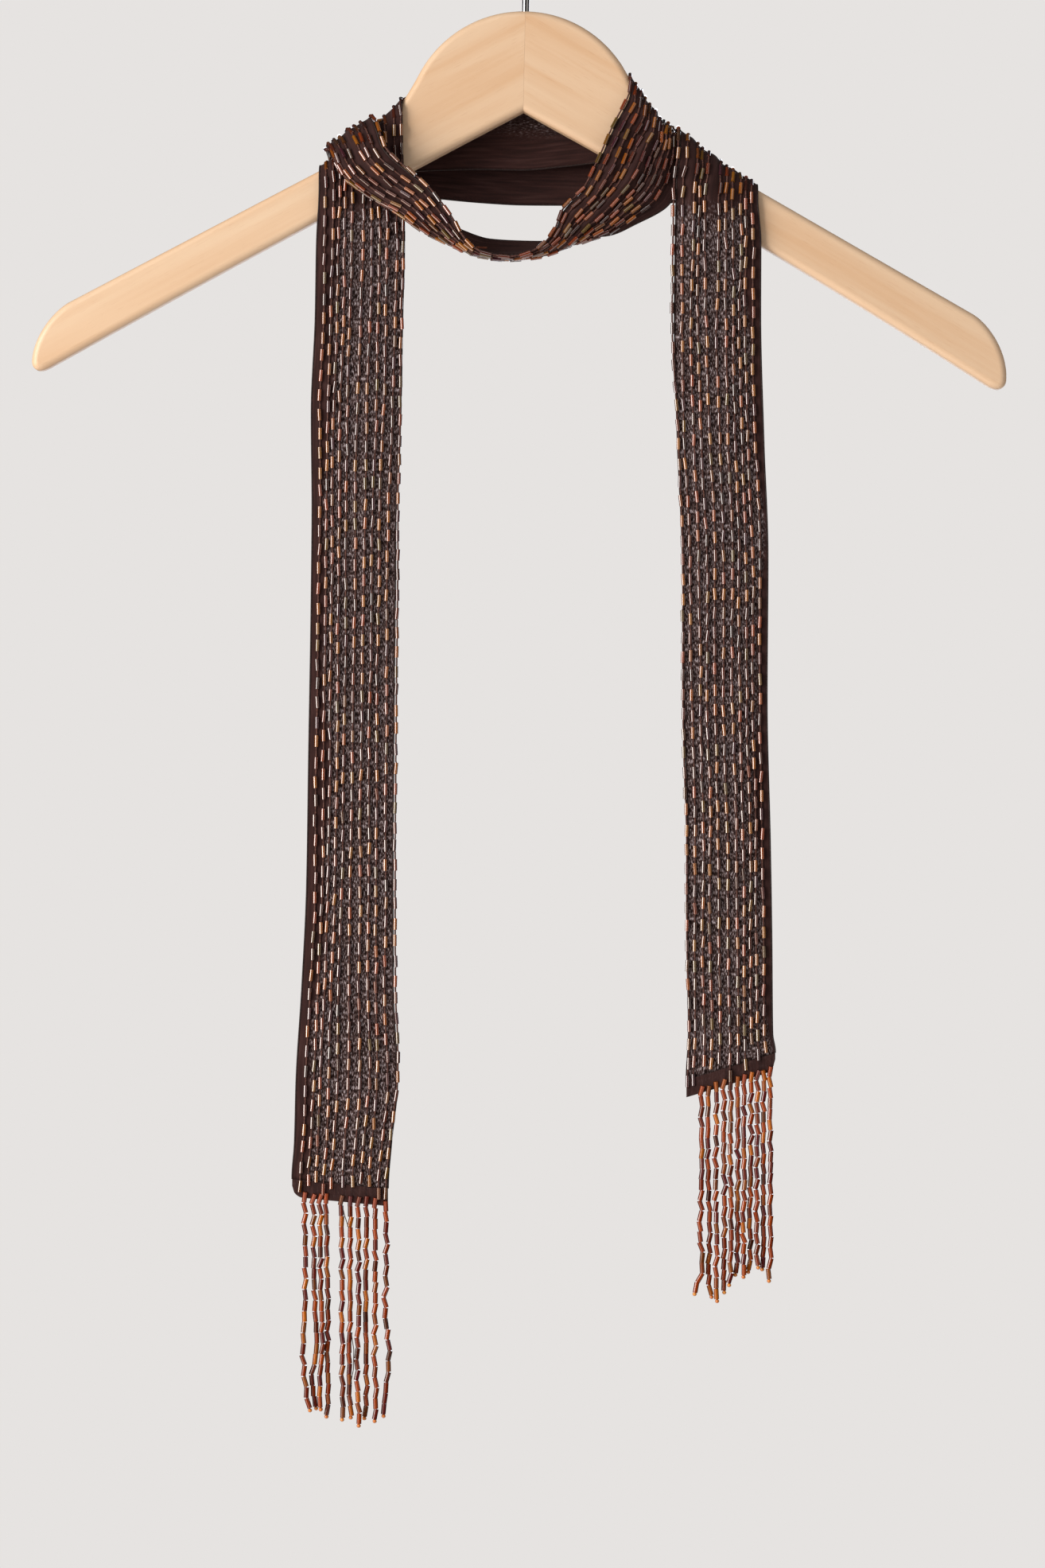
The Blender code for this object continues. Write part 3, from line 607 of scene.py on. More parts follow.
def hang(points):
    """Level hanger coordinates, x and z from the apex, to the tilted hanger under its hook."""
    angle = math.radians(TILT)
    x, z = points[..., 0], points[..., 1] - APEX_BELOW_BOW
    return np.stack(
        (x * math.cos(angle) + z * math.sin(angle), z * math.cos(angle) - x * math.sin(angle)), axis=-1
    )


def half_outline(side, root_width, tip_width, underside_bow):
    """One half of the board, level, from the seam's top round the tip to the apex of the V."""
    drop = math.radians(ARM_DROP)
    outward = np.array((math.cos(drop), -math.sin(drop)))
    upward = np.array((math.sin(drop), math.cos(drop)))

    def arm_point(u, v):
        """A point u along the arm and v up from its underside."""
        return outward * u + upward * v

    def width(u):
        """How wide the arm is there."""
        return root_width + (tip_width - root_width) * u / ARM_LENGTH

    centre = np.array((0.0, DOME_HEIGHT - DOME_RADIUS))
    angles = np.radians(np.linspace(90.0, DOME_END_ANGLE, DOME_POINTS))
    dome = centre + DOME_RADIUS * np.stack((np.cos(angles), np.sin(angles)), axis=1)
    down_dome = np.array((math.sin(angles[-1]), -math.cos(angles[-1])))
    shoulder_end = arm_point(ARM_BLEND_END, width(ARM_BLEND_END))
    along_arm = unit(arm_point(200.0, width(200.0)) - shoulder_end)
    shoulder = curve_through(
        dome[-1],
        dome[-1] + down_dome * DOME_PULL,
        shoulder_end - along_arm * SHOULDER_PULL,
        shoulder_end,
        SHOULDER_POINTS,
    )
    tip_start = ARM_LENGTH - TIP_LENGTH
    rounded = [
        arm_point(
            tip_start + TIP_LENGTH * math.sin(a) ** (2 / TIP_FULLNESS),
            width(tip_start) * math.cos(a) ** (2 / TIP_FULLNESS),
        )
        for a in np.linspace(0, math.pi / 2, TIP_POINTS)
    ]
    corner = [p for p in rounded if np.dot(p, upward) > TIP_RADIUS]
    point = curve_through(
        corner[-1],
        arm_point(ARM_LENGTH, TIP_RADIUS * 0.5),
        arm_point(ARM_LENGTH - TIP_RADIUS * 0.3, 0.0),
        arm_point(ARM_LENGTH - TIP_RADIUS * 1.2, 0.0),
        CORNER_POINTS,
    )
    reach = np.linspace(UNDERSIDE_START, 0.0, UNDERSIDE_POINTS) * ARM_LENGTH
    underside = [arm_point(u, underside_bow * math.sin(math.pi * u / ARM_LENGTH)) for u in reach]
    outline = np.concatenate((dome, shoulder[1:], corner, point[1:], underside))
    return outline * np.array((side, 1.0))


def board_top():
    """The upper edge of both arms and the dome, as x and z."""
    tops = []
    for arm in ARMS.values():
        edge = hang(half_outline(**dict(zip(ARM_FIELDS, arm))))
        tops.append(edge[: int(np.argmax(np.abs(edge[:, 0])))])
    edge = np.concatenate(tops)
    return edge[np.argsort(edge[:, 0])]


BOARD_TOP = board_top()
print("board top at the seam, mm:", round(float(np.interp(0, *BOARD_TOP.T)), 1))


# %% [markdown]
# ## The board
# A real board is sawn to its outline, and its edges are rounded over with a cutter before sanding.
# The mesh is made in the same way: the outline is carried through the thickness in rings, which are
# drawn in along a quarter circle at both faces. A Bevel modifier would do this too, but here the
# arcs' points stay aligned from ring to ring, so the satin lacquer shades evenly at the tips.

# %% Cut the board
SHARP_BOARD_EDGE = 35.0


def volume_of(mesh):
    """Signed volume, positive when the faces point outwards."""
    mesh.calc_loop_triangles()
    corner = np.empty(len(mesh.vertices) * 3)
    mesh.vertices.foreach_get("co", corner)
    corner = corner.reshape(-1, 3)
    index = np.empty(len(mesh.loop_triangles) * 3, np.int32)
    mesh.loop_triangles.foreach_get("vertices", index)
    a, b, c = (corner[index.reshape(-1, 3)[:, k]] for k in range(3))
    return float(np.einsum("ij,ij->i", a, np.cross(b, c)).sum() / 6)


def inset(outline, depth):
    """The outline drawn in by depth; its first and last points stay on the seam."""
    ahead = unit(np.diff(outline, axis=0))
    turn = np.stack((-ahead[:, 1], ahead[:, 0]), axis=1)
    if np.dot(turn[0], (0.0, -1.0)) < 0:
        turn = -turn
    moved = outline.copy()
    middle = turn[:-1] + turn[1:]
    moved[1:-1] += middle * (2 * depth / np.sum(middle**2, axis=1))[:, None]
    moved[0, 1] -= depth / abs(turn[0, 1])
    moved[-1, 1] += depth / abs(turn[-1, 1])
    return moved


def board_half(name, node, side, root_width, tip_width, underside_bow):
    """A half of the board: its outline carried through the thickness, with finely rounded edges."""
    outline = half_outline(side, root_width, tip_width, underside_bow)
    half = BOARD_THICKNESS / 2
    quarter = np.radians(np.linspace(0, 90, ROUND_STEPS))
    rings = [
        (EDGE_ROUNDING * (1 - math.sin(a)), -half + EDGE_ROUNDING * (1 - math.cos(a))) for a in quarter
    ]
    rings += [(depth, -y) for depth, y in reversed(rings)]
    points = []
    for depth, y in rings:
        flat = inset(outline, depth)
        flat[:, 0] += side * SEAM_GAP / 2
        placed = hang(flat)
        points.append(np.stack((placed[:, 0], np.full(len(placed), y), placed[:, 1]), axis=1))
    points = np.concatenate(points)
    count = len(outline)
    first = np.arange(count)
    faces = [tuple(first), tuple(first[::-1] + (len(rings) - 1) * count)]
    for ring in range(len(rings) - 1):
        a = first + ring * count
        b = np.roll(first, -1) + ring * count
        faces += np.stack((a, a + count, b + count, b), axis=1).tolist()
    mesh = bpy.data.meshes.new(name)
    mesh.from_pydata((points * MM).tolist(), [], [[int(k) for k in face] for face in faces])
    if volume_of(mesh) < 0:
        mesh.flip_normals()
    mesh.shade_smooth()
    mesh.set_sharp_from_angle(angle=math.radians(SHARP_BOARD_EDGE))
    for cap in mesh.polygons[:2]:
        cap.use_smooth = False
    drawn_in = inset(outline, EDGE_ROUNDING)
    forward = np.einsum("ij,ij->i", np.diff(outline, axis=0), np.diff(drawn_in, axis=0))
    print(f"{name}: points that fold back at the rounding: {int(np.sum(forward < 0))}")
    item = bpy.data.objects.new(name, mesh)
    bpy.context.collection.objects.link(item)
    mesh.materials.append(maple[node])
    return item


boards = {
    node: board_half(node.replace("hanger", "board"), node, **dict(zip(ARM_FIELDS, arm)))
    for node, arm in ARMS.items()
}
print("board halves:", ", ".join(board.name for board in boards.values()))


# %% [markdown]
# ## Rows of the strip
# The tables are turned into rows in the order in which the strip runs: up the left tail, over the
# arm, behind the neck, over the other arm into the loop in front, and round once more into the
# right tail. Over an arm the cloth follows a half circle, because chiffon is too soft to stand off
# the wood.

# %% Rows over, behind and down
def hanging_rows(table):
    """Rows of a tail: level or leaning, and a little crowned in the middle."""
    rows = []
    for row in named(TAIL_FIELDS, table):
        neck = np.array((row["neck_x"], row["neck_y"], row["z"]))
        outer = np.array((row["outer_x"], row["outer_y"], row["z"] - row["lean"]))
        rows.append((neck, (neck + outer) / 2 - (0.0, TAIL_CROWN, 0.0), outer, 0.0))
    return rows


def hem_line(hem, below_seam):
    """The line across the strip, at the hem's slope, a given height above its lower edge."""
    ends = dict(zip(HEM_FIELDS, hem))
    lift = HEM_HEIGHT + below_seam
    neck = np.array((ends["neck_x"], ends["y"], ends["neck_z"] + lift))
    outer = np.array((ends["outer_x"], ends["y"], ends["outer_z"] + lift))
    return (neck, (neck + outer) / 2 - (0.0, TAIL_CROWN, 0.0), outer, 0.0)


def crossing_rows(crossing, pleat):
    """Rows over an arm, front to back: each edge follows a half circle over the board."""
    sizes = dict(zip(CROSSING_FIELDS, crossing))

    def place(edge, angle):
        """A point of an edge at an angle round its half circle."""
        a = math.radians(angle)
        x = sizes[edge + "_x"] + sizes["sway"] * max(math.cos(a), 0.0) ** 2
        radius = sizes[edge + "_radius"]
        height = float(np.interp(x, *BOARD_TOP.T)) - BOARD_THICKNESS / 2
        return (x, -radius * math.cos(a), height + radius * math.sin(a))

    rows = []
    for neck_angle, outer_angle in zip(NECK_ANGLES, OUTER_ANGLES):
        middle_angle = (neck_angle + outer_angle) / 2
        rows.append(
            (place("neck", neck_angle), place("fold", middle_angle), place("outer", outer_angle), pleat)
        )
    return rows


def band_rows(table):
    """Rows of a run behind the neck, bellied away from the viewer."""
    rows = []
    for row in named(BAND_FIELDS, table):
        neck = np.array((row["neck_x"], row["y"], row["neck_z"]))
        outer = np.array((row["outer_x"], row["y"], row["outer_z"]))
        rows.append((neck, (neck + outer) / 2 + (0.0, row["belly"], 0.0), outer, BAND_PLEAT))
    return rows


def wound_rows():
    """Every row in order, from the left hem to the right hem, and where stretches end."""
    inner, outer = band_rows(INNER_BAND), band_rows(OUTER_BAND)
    left_rise = hanging_rows(LEFT_TAIL) + crossing_rows(LEFT_UNDER, 0.1)
    swag = crossing_rows(RIGHT_INNER, 0.1)[::-1] + list(SWAG) + crossing_rows(LEFT_OVER, 0.1)[1:]
    right_fall = crossing_rows(RIGHT_OUTER, 0.3)[::-1] + hanging_rows(RIGHT_TAIL)
    parts = (
        [hem_line(LEFT_HEM, -HEM_HEIGHT), hem_line(LEFT_HEM, 0.0)] + left_rise,
        inner[:-1],
        inner[-1:] + swag,
        outer[:-1],
        outer[-1:] + right_fall + [hem_line(RIGHT_HEM, 0.0), hem_line(RIGHT_HEM, -HEM_HEIGHT)],
    )
    rows, ends = [], [0]
    for part in parts:
        rows += part
        ends.append(len(rows))
    return rows, ends


print("rows from hem to hem:", len(wound_rows()[0]))

# %% [markdown]
# ## Creases
# Gathered chiffon never hangs flat. Soft, uneven ridges run lengthwise where the strip is squeezed
# over an arm or drawn together in the loop, and fade out in the hanging tails. Each is a row of the
# table below: the stretch it is on, where it starts and ends as shares of that stretch, where it
# lies across the width at both ends, how wide it is and how high it stands.

# %% Table of creases
CREASE_FIELDS = ("stretch", "start", "end", "from_v", "to_v", "width", "height")
CREASES = (
    ("tail_left", 0.02, 0.62, 0.72, 0.64, 0.09, 0.55),
    ("tail_left", 0.30, 0.96, 0.34, 0.42, 0.08, 0.50),
    ("tail_left", 0.68, 1.05, 0.16, 0.24, 0.06, 0.80),
    ("tail_left", 0.72, 1.05, 0.60, 0.66, 0.06, 0.75),
    ("tail_left", 0.80, 1.05, 0.84, 0.86, 0.05, 0.60),
    ("back_inner", -0.05, 1.05, 0.30, 0.36, 0.07, 0.50),
    ("back_inner", -0.05, 0.70, 0.68, 0.62, 0.06, 0.40),
    ("back_outer", -0.05, 1.05, 0.42, 0.34, 0.07, 0.50),
    ("back_outer", 0.25, 1.05, 0.74, 0.70, 0.06, 0.45),
    ("swag_front", -0.05, 0.42, 0.20, 0.17, 0.05, 0.70),
    ("swag_front", -0.05, 0.55, 0.46, 0.36, 0.05, 0.85),
    ("swag_front", -0.05, 0.40, 0.72, 0.62, 0.06, 0.75),
    ("swag_front", 0.45, 1.05, 0.14, 0.20, 0.05, 0.70),
    ("swag_front", 0.52, 1.05, 0.34, 0.44, 0.05, 0.60),
    ("tail_right", -0.05, 0.34, 0.16, 0.14, 0.06, 0.90),
    ("tail_right", -0.05, 0.40, 0.42, 0.36, 0.07, 0.95),
    ("tail_right", -0.05, 0.45, 0.66, 0.60, 0.06, 0.85),
    ("tail_right", -0.05, 0.30, 0.88, 0.86, 0.05, 0.60),
    ("tail_right", 0.30, 0.98, 0.26, 0.30, 0.09, 0.50),
    ("tail_right", 0.45, 0.98, 0.74, 0.66, 0.09, 0.55),
)
STRETCHES = ("tail_left", "back_inner", "swag_front", "back_outer", "tail_right")
PROBE = 0.3
PROBE_V = 0.004
CLOTH, HEM_THICKNESS = 0.35, 0.9
WANDER = ((0.02, 17.0), (0.012, 6.1))


class Strip:
    """The cloth as a surface over distance along it (mm) and share of its width, 0 at the neck edge."""

    def __init__(self):
        rows, self.ends = wound_rows()
        rows = named(SWAG_FIELDS, rows)
        self.edges = {
            key: np.array([row[key] for row in rows], float) for key in ("neck", "fold", "outer")
        }
        self.pleat = np.array([[row["pleat"]] for row in rows], float)
        centre = sum(self.edges.values()) / 3
        steps = np.linalg.norm(np.diff(centre, axis=0), axis=1)
        self.places = np.concatenate(((0.0,), np.cumsum(steps)))
        seams = self.places[[1, *self.ends[1:-1], -2]]
        self.spans = {
            name: (low + SEAM_GAP / 2, high - SEAM_GAP / 2)
            for name, low, high in zip(STRETCHES, seams[:-1], seams[1:])
        }

    def plain(self, at, v):
        """The smooth form, before pleats and creases."""
        at = np.clip(at, self.places[0], self.places[-1])
        neck, fold, outer = (along(self.places, self.edges[key], at) for key in ("neck", "fold", "outer"))
        middle = (neck + outer) / 2
        chord = np.linalg.norm(neck - outer, axis=-1)
        depth = np.linalg.norm(fold - middle, axis=-1)
        roundness = np.clip(depth / np.maximum(chord, 1e-6) - 0.15, 0, 1)
        reach = (1 - roundness) * (1 - 2 * v) + roundness * np.cos(math.pi * v)
        return middle + (neck - outer) / 2 * reach[:, None] + (fold - middle) * np.sin(math.pi * v)[:, None]

    def raised(self, at, v):
        """How far pleats and creases lift the cloth off the smooth form."""
        pleat = along(self.places, self.pleat, np.clip(at, self.places[0], self.places[-1]))[:, 0]
        lift = pleat * np.sin(2 * math.pi * PLEATS * v) * np.sin(math.pi * np.clip(v, 0, 1))
        for row in named(CREASE_FIELDS, CREASES):
            low, high = self.spans[row["stretch"]]
            share = (at - low) / (high - low)
            t = np.clip((share - row["start"]) / (row["end"] - row["start"]), 0, 1)
            (slow, slow_length), (quick, quick_length) = WANDER
            wander = slow * np.sin(at / slow_length + 5 * row["from_v"])
            wander = wander + quick * np.sin(at / quick_length + row["height"])
            across = (v - row["from_v"] - (row["to_v"] - row["from_v"]) * t - wander) / row["width"]
            inside = (share >= 0) & (share <= 1)
            fade = np.sin(math.pi * t) ** 0.7 * inside
            lift = lift + row["height"] * fade * np.exp(-(across**2))
        return lift

    def point(self, at, v, height=0.0):
        """A point on the cloth's reverse side, or a height in millimetres off it on the beaded side."""
        lift = self.raised(at, v)
        return self.plain(at, v) + self.facing(self.plain, at, v) * (lift + height)[:, None]

    def facing(self, form, at, v):
        """Directions square to a form, towards the beaded side."""
        travel = form(at + PROBE, v) - form(at - PROBE, v)
        across = form(at, v + PROBE_V) - form(at, v - PROBE_V)
        return unit(np.cross(travel, across))

    def normal(self, at, v):
        """Directions square to the pleated and creased cloth."""
        return self.facing(self.point, at, v)

    def thickness(self, at):
        """The cloth's thickness: more where the hem is turned up."""
        return np.where((at < self.places[1]) | (at > self.places[-2]), HEM_THICKNESS, CLOTH)


strip = Strip()
for name, (low, high) in strip.spans.items():
    print(f"{name}: {high - low:.0f} mm along the middle")


# %% [markdown]
# ## The cloth
# Each stretch that shows is a thin closed shell, 0.35 mm thick, laid on the same surface as its
# solid but with many more columns, so that the creases are real shapes. A grid is the simplest
# mesh for cloth whose two directions are known.

# %% Make the shells
ROW_STEP = {"tail_left": 2.6, "back_inner": 2.2, "swag_front": 1.3, "back_outer": 2.2, "tail_right": 2.6}
COLUMNS = {"tail_left": 44, "back_inner": 36, "swag_front": 56, "back_outer": 36, "tail_right": 44}
PATTERN_WIDTH = 40.0
# Where the tails take the painted see-through light: up to these shares of the width, and only below a
# given height, faded in.
PAINTED_SEE_THROUGH_LIMITS = {"tail_left": 0.78, "tail_right": 0.86}
PAINTED_SEE_THROUGH_START, PAINTED_SEE_THROUGH_FADE = 148.0, 14.0
PATCH_FIELDS = ("x", "z", "wide", "tall", "most")
# A small patch of painted sheen on the inner band behind the neck: where, how wide and tall, and how
# strong.
PAINTED_SHEEN_PATCH = (1.0, -111.5, 13.0, 4.0, 0.55)


def link(name, mesh, material):
    """Puts a mesh in the scene with its material."""
    item = bpy.data.objects.new(name, mesh)
    bpy.context.collection.objects.link(item)
    mesh.materials.append(material)
    return item


def smooth(t):
    """A soft step from 0 to 1."""
    t = np.clip(t, 0, 1)
    return t * t * (3 - 2 * t)


def painted_light_fleck_share(name, points, v, at):
    """How much painted light fleck a place takes: 1 where the pale room would show through one layer of
    cloth, 0 where it is doubled or backed, and a patch of painted sheen on the inner band.
    """
    if not name.startswith("tail"):
        # Off the tails, only the inner band gets a fleck: a patch of painted sheen.
        patch = dict(zip(PATCH_FIELDS, PAINTED_SHEEN_PATCH))
        sideways = (points[:, 0] - patch["x"]) / patch["wide"]
        upward = (points[:, 2] - patch["z"]) / patch["tall"]
        return patch["most"] * np.exp(-(sideways**2) - upward**2) * (name == "back_inner")
    wander = 0.05 * np.sin(at / 37.0) + 0.03 * np.sin(at / 13.0 + 2.0)
    below = smooth((-points[:, 2] - PAINTED_SEE_THROUGH_START) / PAINTED_SEE_THROUGH_FADE)
    from_edge = smooth((v - 0.005) / 0.02)
    return below * from_edge * (1 - smooth((v - PAINTED_SEE_THROUGH_LIMITS[name] - wander) / 0.05))


def shell(name, inner, outer, uv, painted_light_fleck, material):
    """A closed thin wall between two grids of points in millimetres."""
    rows, columns = inner.shape[:2]
    points = np.concatenate((inner.reshape(-1, 3), outer.reshape(-1, 3))) * MM
    number = np.arange(rows * columns).reshape(rows, columns)
    a, b, c, d = number[:-1, :-1], number[1:, :-1], number[1:, 1:], number[:-1, 1:]
    far = rows * columns
    sheets = [np.stack((a, d, c, b), -1), np.stack((a, b, c, d), -1) + far]
    for near, ahead in (
        (number[:-1, 0], number[1:, 0]),
        (number[1:, -1], number[:-1, -1]),
        (number[0, 1:], number[0, :-1]),
        (number[-1, :-1], number[-1, 1:]),
    ):
        sheets.append(np.stack((near, ahead, ahead + far, near + far), -1))
    faces = np.concatenate([sheet.reshape(-1, 4) for sheet in sheets])
    mesh = bpy.data.meshes.new(name)
    mesh.from_pydata(points.tolist(), [], faces.tolist())
    layer = mesh.uv_layers.new(name="cloth")
    index = np.empty(len(mesh.loops), np.int32)
    mesh.loops.foreach_get("vertex_index", index)
    layer.data.foreach_set("uv", np.concatenate((uv, uv))[index].astype(np.float32).ravel())
    value = mesh.attributes.new("painted_light_fleck", "FLOAT", "POINT")
    value.data.foreach_set("value", np.concatenate((painted_light_fleck, painted_light_fleck)).astype(np.float32))
    mesh.shade_smooth()
    return link(name, mesh, material)


def grid_of(low, high, step, columns):
    """Distances and width shares of a grid, as flat lists, with its shape."""
    rows = max(2, round((high - low) / step)) + 1
    at, v = np.meshgrid(np.linspace(low, high, rows), np.linspace(0, 1, columns + 1), indexing="ij")
    return at.ravel(), v.ravel(), at.shape


def area_of(grid):
    """The area of a grid of points, in square metres."""
    a, b, c = grid[:-1, :-1], grid[1:, :-1], grid[:-1, 1:]
    d = grid[1:, 1:]
    first = np.linalg.norm(np.cross(b - a, c - a), axis=-1) / 2
    second = np.linalg.norm(np.cross(b - d, c - d), axis=-1) / 2
    return float((first + second).sum()) * MM * MM


STRIP_WIDTH = 41.0
cloths, flat_sizes = {}, {}
# The strip is cut to one width; a stretch is as long as the mean of its lengthwise lines.
for name in STRETCHES:
    low, high = strip.spans[name]
    at, v, shape = grid_of(low, high, ROW_STEP[name], COLUMNS[name])
    inner = strip.point(at, v)
    outer = inner + strip.normal(at, v) * CLOTH
    grid = inner.reshape(*shape, 3)
    length = np.linalg.norm(np.diff(grid, axis=0), axis=-1).sum(axis=0).mean()
    flat_sizes[name] = (STRIP_WIDTH * MM, float(length) * MM)
    painted_light_fleck = painted_light_fleck_share(name, inner, v, at)
    uv = np.stack((v * PATTERN_WIDTH, at), axis=1)
    cloths[name] = shell("cloth_" + name, grid, outer.reshape(*shape, 3), uv, painted_light_fleck, chiffon)
    print(f"cloth_{name}: {shape[0]} x {shape[1]} points, cut {STRIP_WIDTH:.0f} x {length:.0f} mm,")
    print(f"    area {area_of(grid) / (STRIP_WIDTH * MM * length * MM):.2f} of the cut")


# %% [markdown]
# ## Beads by Geometry Nodes
# More than a thousand beads repeat one shape, so they are instances on points. Each point carries
# three attributes: the direction of the thread through the bead, the direction away from the cloth,
# and the tint. The bead itself is a small open tube: a rectangle swept round a circle of twelve points.
# The tree's sizes are inputs, set by the sockets' identifiers, and it ends by making the instances
# real, because an exported mesh holds no instances.

# %% The bead tree
BEAD_SIDES = 12
DROP_SUBDIVISIONS = 3


def group_with_inputs(name, sizes):
    """A Geometry Nodes tree with inputs for geometry, sizes and a material, and one output."""
    tree = bpy.data.node_groups.new(name, "GeometryNodeTree")
    tree.interface.new_socket("Geometry", in_out="INPUT", socket_type="NodeSocketGeometry")
    for size in sizes:
        tree.interface.new_socket(size, in_out="INPUT", socket_type="NodeSocketFloat")
    tree.interface.new_socket("Material", in_out="INPUT", socket_type="NodeSocketMaterial")
    tree.interface.new_socket("Geometry", in_out="OUTPUT", socket_type="NodeSocketGeometry")
    return tree, add_node(tree, "NodeGroupInput")


def direction(tree, name):
    """A direction that each point carries as an attribute."""
    return add_node(
        tree, "GeometryNodeInputNamedAttribute", {"Name": name}, data_type="FLOAT_VECTOR"
    ).outputs["Attribute"]


def tube_bead(tree, entry):
    """A tube: a rectangle swept round a circle."""
    outside, hole = entry.outputs["Diameter"], entry.outputs["Hole"]
    wall = math_node(tree, "MULTIPLY", math_node(tree, "SUBTRACT", outside, hole), 0.5)
    mean_radius = math_node(tree, "MULTIPLY", math_node(tree, "ADD", outside, hole), 0.25)
    circle = add_node(
        tree, "GeometryNodeCurvePrimitiveCircle", {"Resolution": BEAD_SIDES, "Radius": mean_radius}
    )
    upright = add_node(
        tree, "GeometryNodeSetCurveNormal", {"Curve": circle.outputs[0]}, mode="Z_UP"
    )
    section = add_node(
        tree,
        "GeometryNodeCurvePrimitiveQuadrilateral",
        {"Width": wall, "Height": entry.outputs["Length"]},
    )
    swept = add_node(
        tree,
        "GeometryNodeCurveToMesh",
        {"Curve": upright.outputs[0], "Profile Curve": section.outputs[0]},
    )
    return swept.outputs[0]


def round_drop(tree, entry):
    """A small round bead."""
    radius = math_node(tree, "MULTIPLY", entry.outputs["Diameter"], 0.5)
    ball = add_node(
        tree, "GeometryNodeMeshIcoSphere", {"Radius": radius, "Subdivisions": DROP_SUBDIVISIONS}
    )
    return ball.outputs["Mesh"]


def bead_tree(name, shape):
    """Puts a shape on every point, its Z along the thread and its X away from the cloth."""
    tree, entry = group_with_inputs(name, ("Length", "Diameter", "Hole"))
    threaded = add_node(
        tree, "FunctionNodeAlignRotationToVector", {"Vector": direction(tree, "threading")}, axis="Z"
    )
    faced = add_node(
        tree,
        "FunctionNodeAlignRotationToVector",
        {"Rotation": threaded.outputs[0], "Vector": direction(tree, "facing")},
        axis="X",
        pivot_axis="Z",
    )
    placed = add_node(
        tree,
        "GeometryNodeInstanceOnPoints",
        {
            "Points": entry.outputs["Geometry"],
            "Instance": shape(tree, entry),
            "Rotation": faced.outputs[0],
        },
    )
    real = add_node(tree, "GeometryNodeRealizeInstances", {"Geometry": placed.outputs[0]})
    shaded = add_node(
        tree,
        "GeometryNodeSetMaterial",
        {"Geometry": real.outputs[0], "Material": entry.outputs["Material"]},
    )
    add_node(tree, "NodeGroupOutput", {0: shaded.outputs[0]})
    return tree


tube_beads = bead_tree("tube_beads_on_points", tube_bead)
drop_beads = bead_tree("drop_beads_on_points", round_drop)
print("trees:", tube_beads.name, drop_beads.name)


# %% [markdown]
# ## Thread by Geometry Nodes
# Stitches, edge rolls and the hook's wire are all a round section swept along a line, so one more
# tree does them all. It turns the edges of a mesh into curves and sweeps a circle along them.

# %% The sweep tree
def sweep_tree(name):
    """Sweeps a circle along every line of a mesh, and closes the ends."""
    tree, entry = group_with_inputs(name, ("Radius", "Sides"))
    lines = add_node(tree, "GeometryNodeMeshToCurve", {"Mesh": entry.outputs["Geometry"]})
    circle = add_node(
        tree,
        "GeometryNodeCurvePrimitiveCircle",
        {"Resolution": entry.outputs["Sides"], "Radius": entry.outputs["Radius"]},
    )
    swept = add_node(
        tree,
        "GeometryNodeCurveToMesh",
        {"Curve": lines.outputs[0], "Profile Curve": circle.outputs[0], "Fill Caps": True},
    )
    real = add_node(tree, "GeometryNodeRealizeInstances", {"Geometry": swept.outputs[0]})
    shaded = add_node(
        tree,
        "GeometryNodeSetMaterial",
        {"Geometry": real.outputs[0], "Material": entry.outputs["Material"]},
    )
    add_node(tree, "NodeGroupOutput", {0: shaded.outputs[0]})
    return tree


sweep = sweep_tree("round_section_along_lines")
print("tree:", sweep.name)


def run_tree(name, base, tree, material, sharp_angle, **sizes):
    """Runs a tree on a base mesh and returns the result as a plain object."""
    holder = bpy.data.objects.new(name + "_base", base)
    bpy.context.collection.objects.link(holder)
    modifier = holder.modifiers.new("made", "NODES")
    modifier.node_group = tree
    for item in tree.interface.items_tree:
        if item.in_out == "INPUT" and item.name in sizes:
            modifier[item.identifier] = sizes[item.name]
        if item.in_out == "INPUT" and item.name == "Material":
            modifier[item.identifier] = material
    deps = bpy.context.evaluated_depsgraph_get()
    mesh = bpy.data.meshes.new_from_object(holder.evaluated_get(deps))
    holder.modifiers.clear()
    bpy.data.objects.remove(holder, do_unlink=True)
    mesh.name = name
    if volume_of(mesh) < 0:
        mesh.flip_normals()
    mesh.shade_smooth()
    mesh.set_sharp_from_angle(angle=math.radians(sharp_angle))
    item = bpy.data.objects.new(name, mesh)
    bpy.context.collection.objects.link(item)
    return item


def points_mesh(name, places, threading, facing, tint):
    """Loose points in millimetres with the attributes that the bead tree reads."""
    mesh = bpy.data.meshes.new(name)
    mesh.from_pydata((places * MM).tolist(), [], [])
    for key, kind, values in (
        ("threading", "FLOAT_VECTOR", threading),
        ("facing", "FLOAT_VECTOR", facing),
        ("tint", "FLOAT", tint),
    ):
        made = mesh.attributes.new(key, kind, "POINT")
        field = "vector" if kind == "FLOAT_VECTOR" else "value"
        made.data.foreach_set(field, np.asarray(values, np.float32).ravel())
    return mesh


def lines_mesh(name, lines):
    """Polylines in millimetres as a mesh of edges."""
    points, edges = [], []
    for line in lines:
        first = len(points)
        points += (np.asarray(line) * MM).tolist()
        edges += [(first + k, first + k + 1) for k in range(len(line) - 1)]
    mesh = bpy.data.meshes.new(name)
    mesh.from_pydata(points, edges, [])
    return mesh


# %% [markdown]
# ## Rows of beads
# Eleven threads run the length of the strip. Along each, a bead of about 5 mm is picked up every
# 9 mm, and the thread shows between one bead and the next. The rows aren't spaced evenly: the first
# rides on the very edge at the neck side, and the last keeps a plain margin at the other. Hand
# sewing leaves each bead a little off its place and its direction.

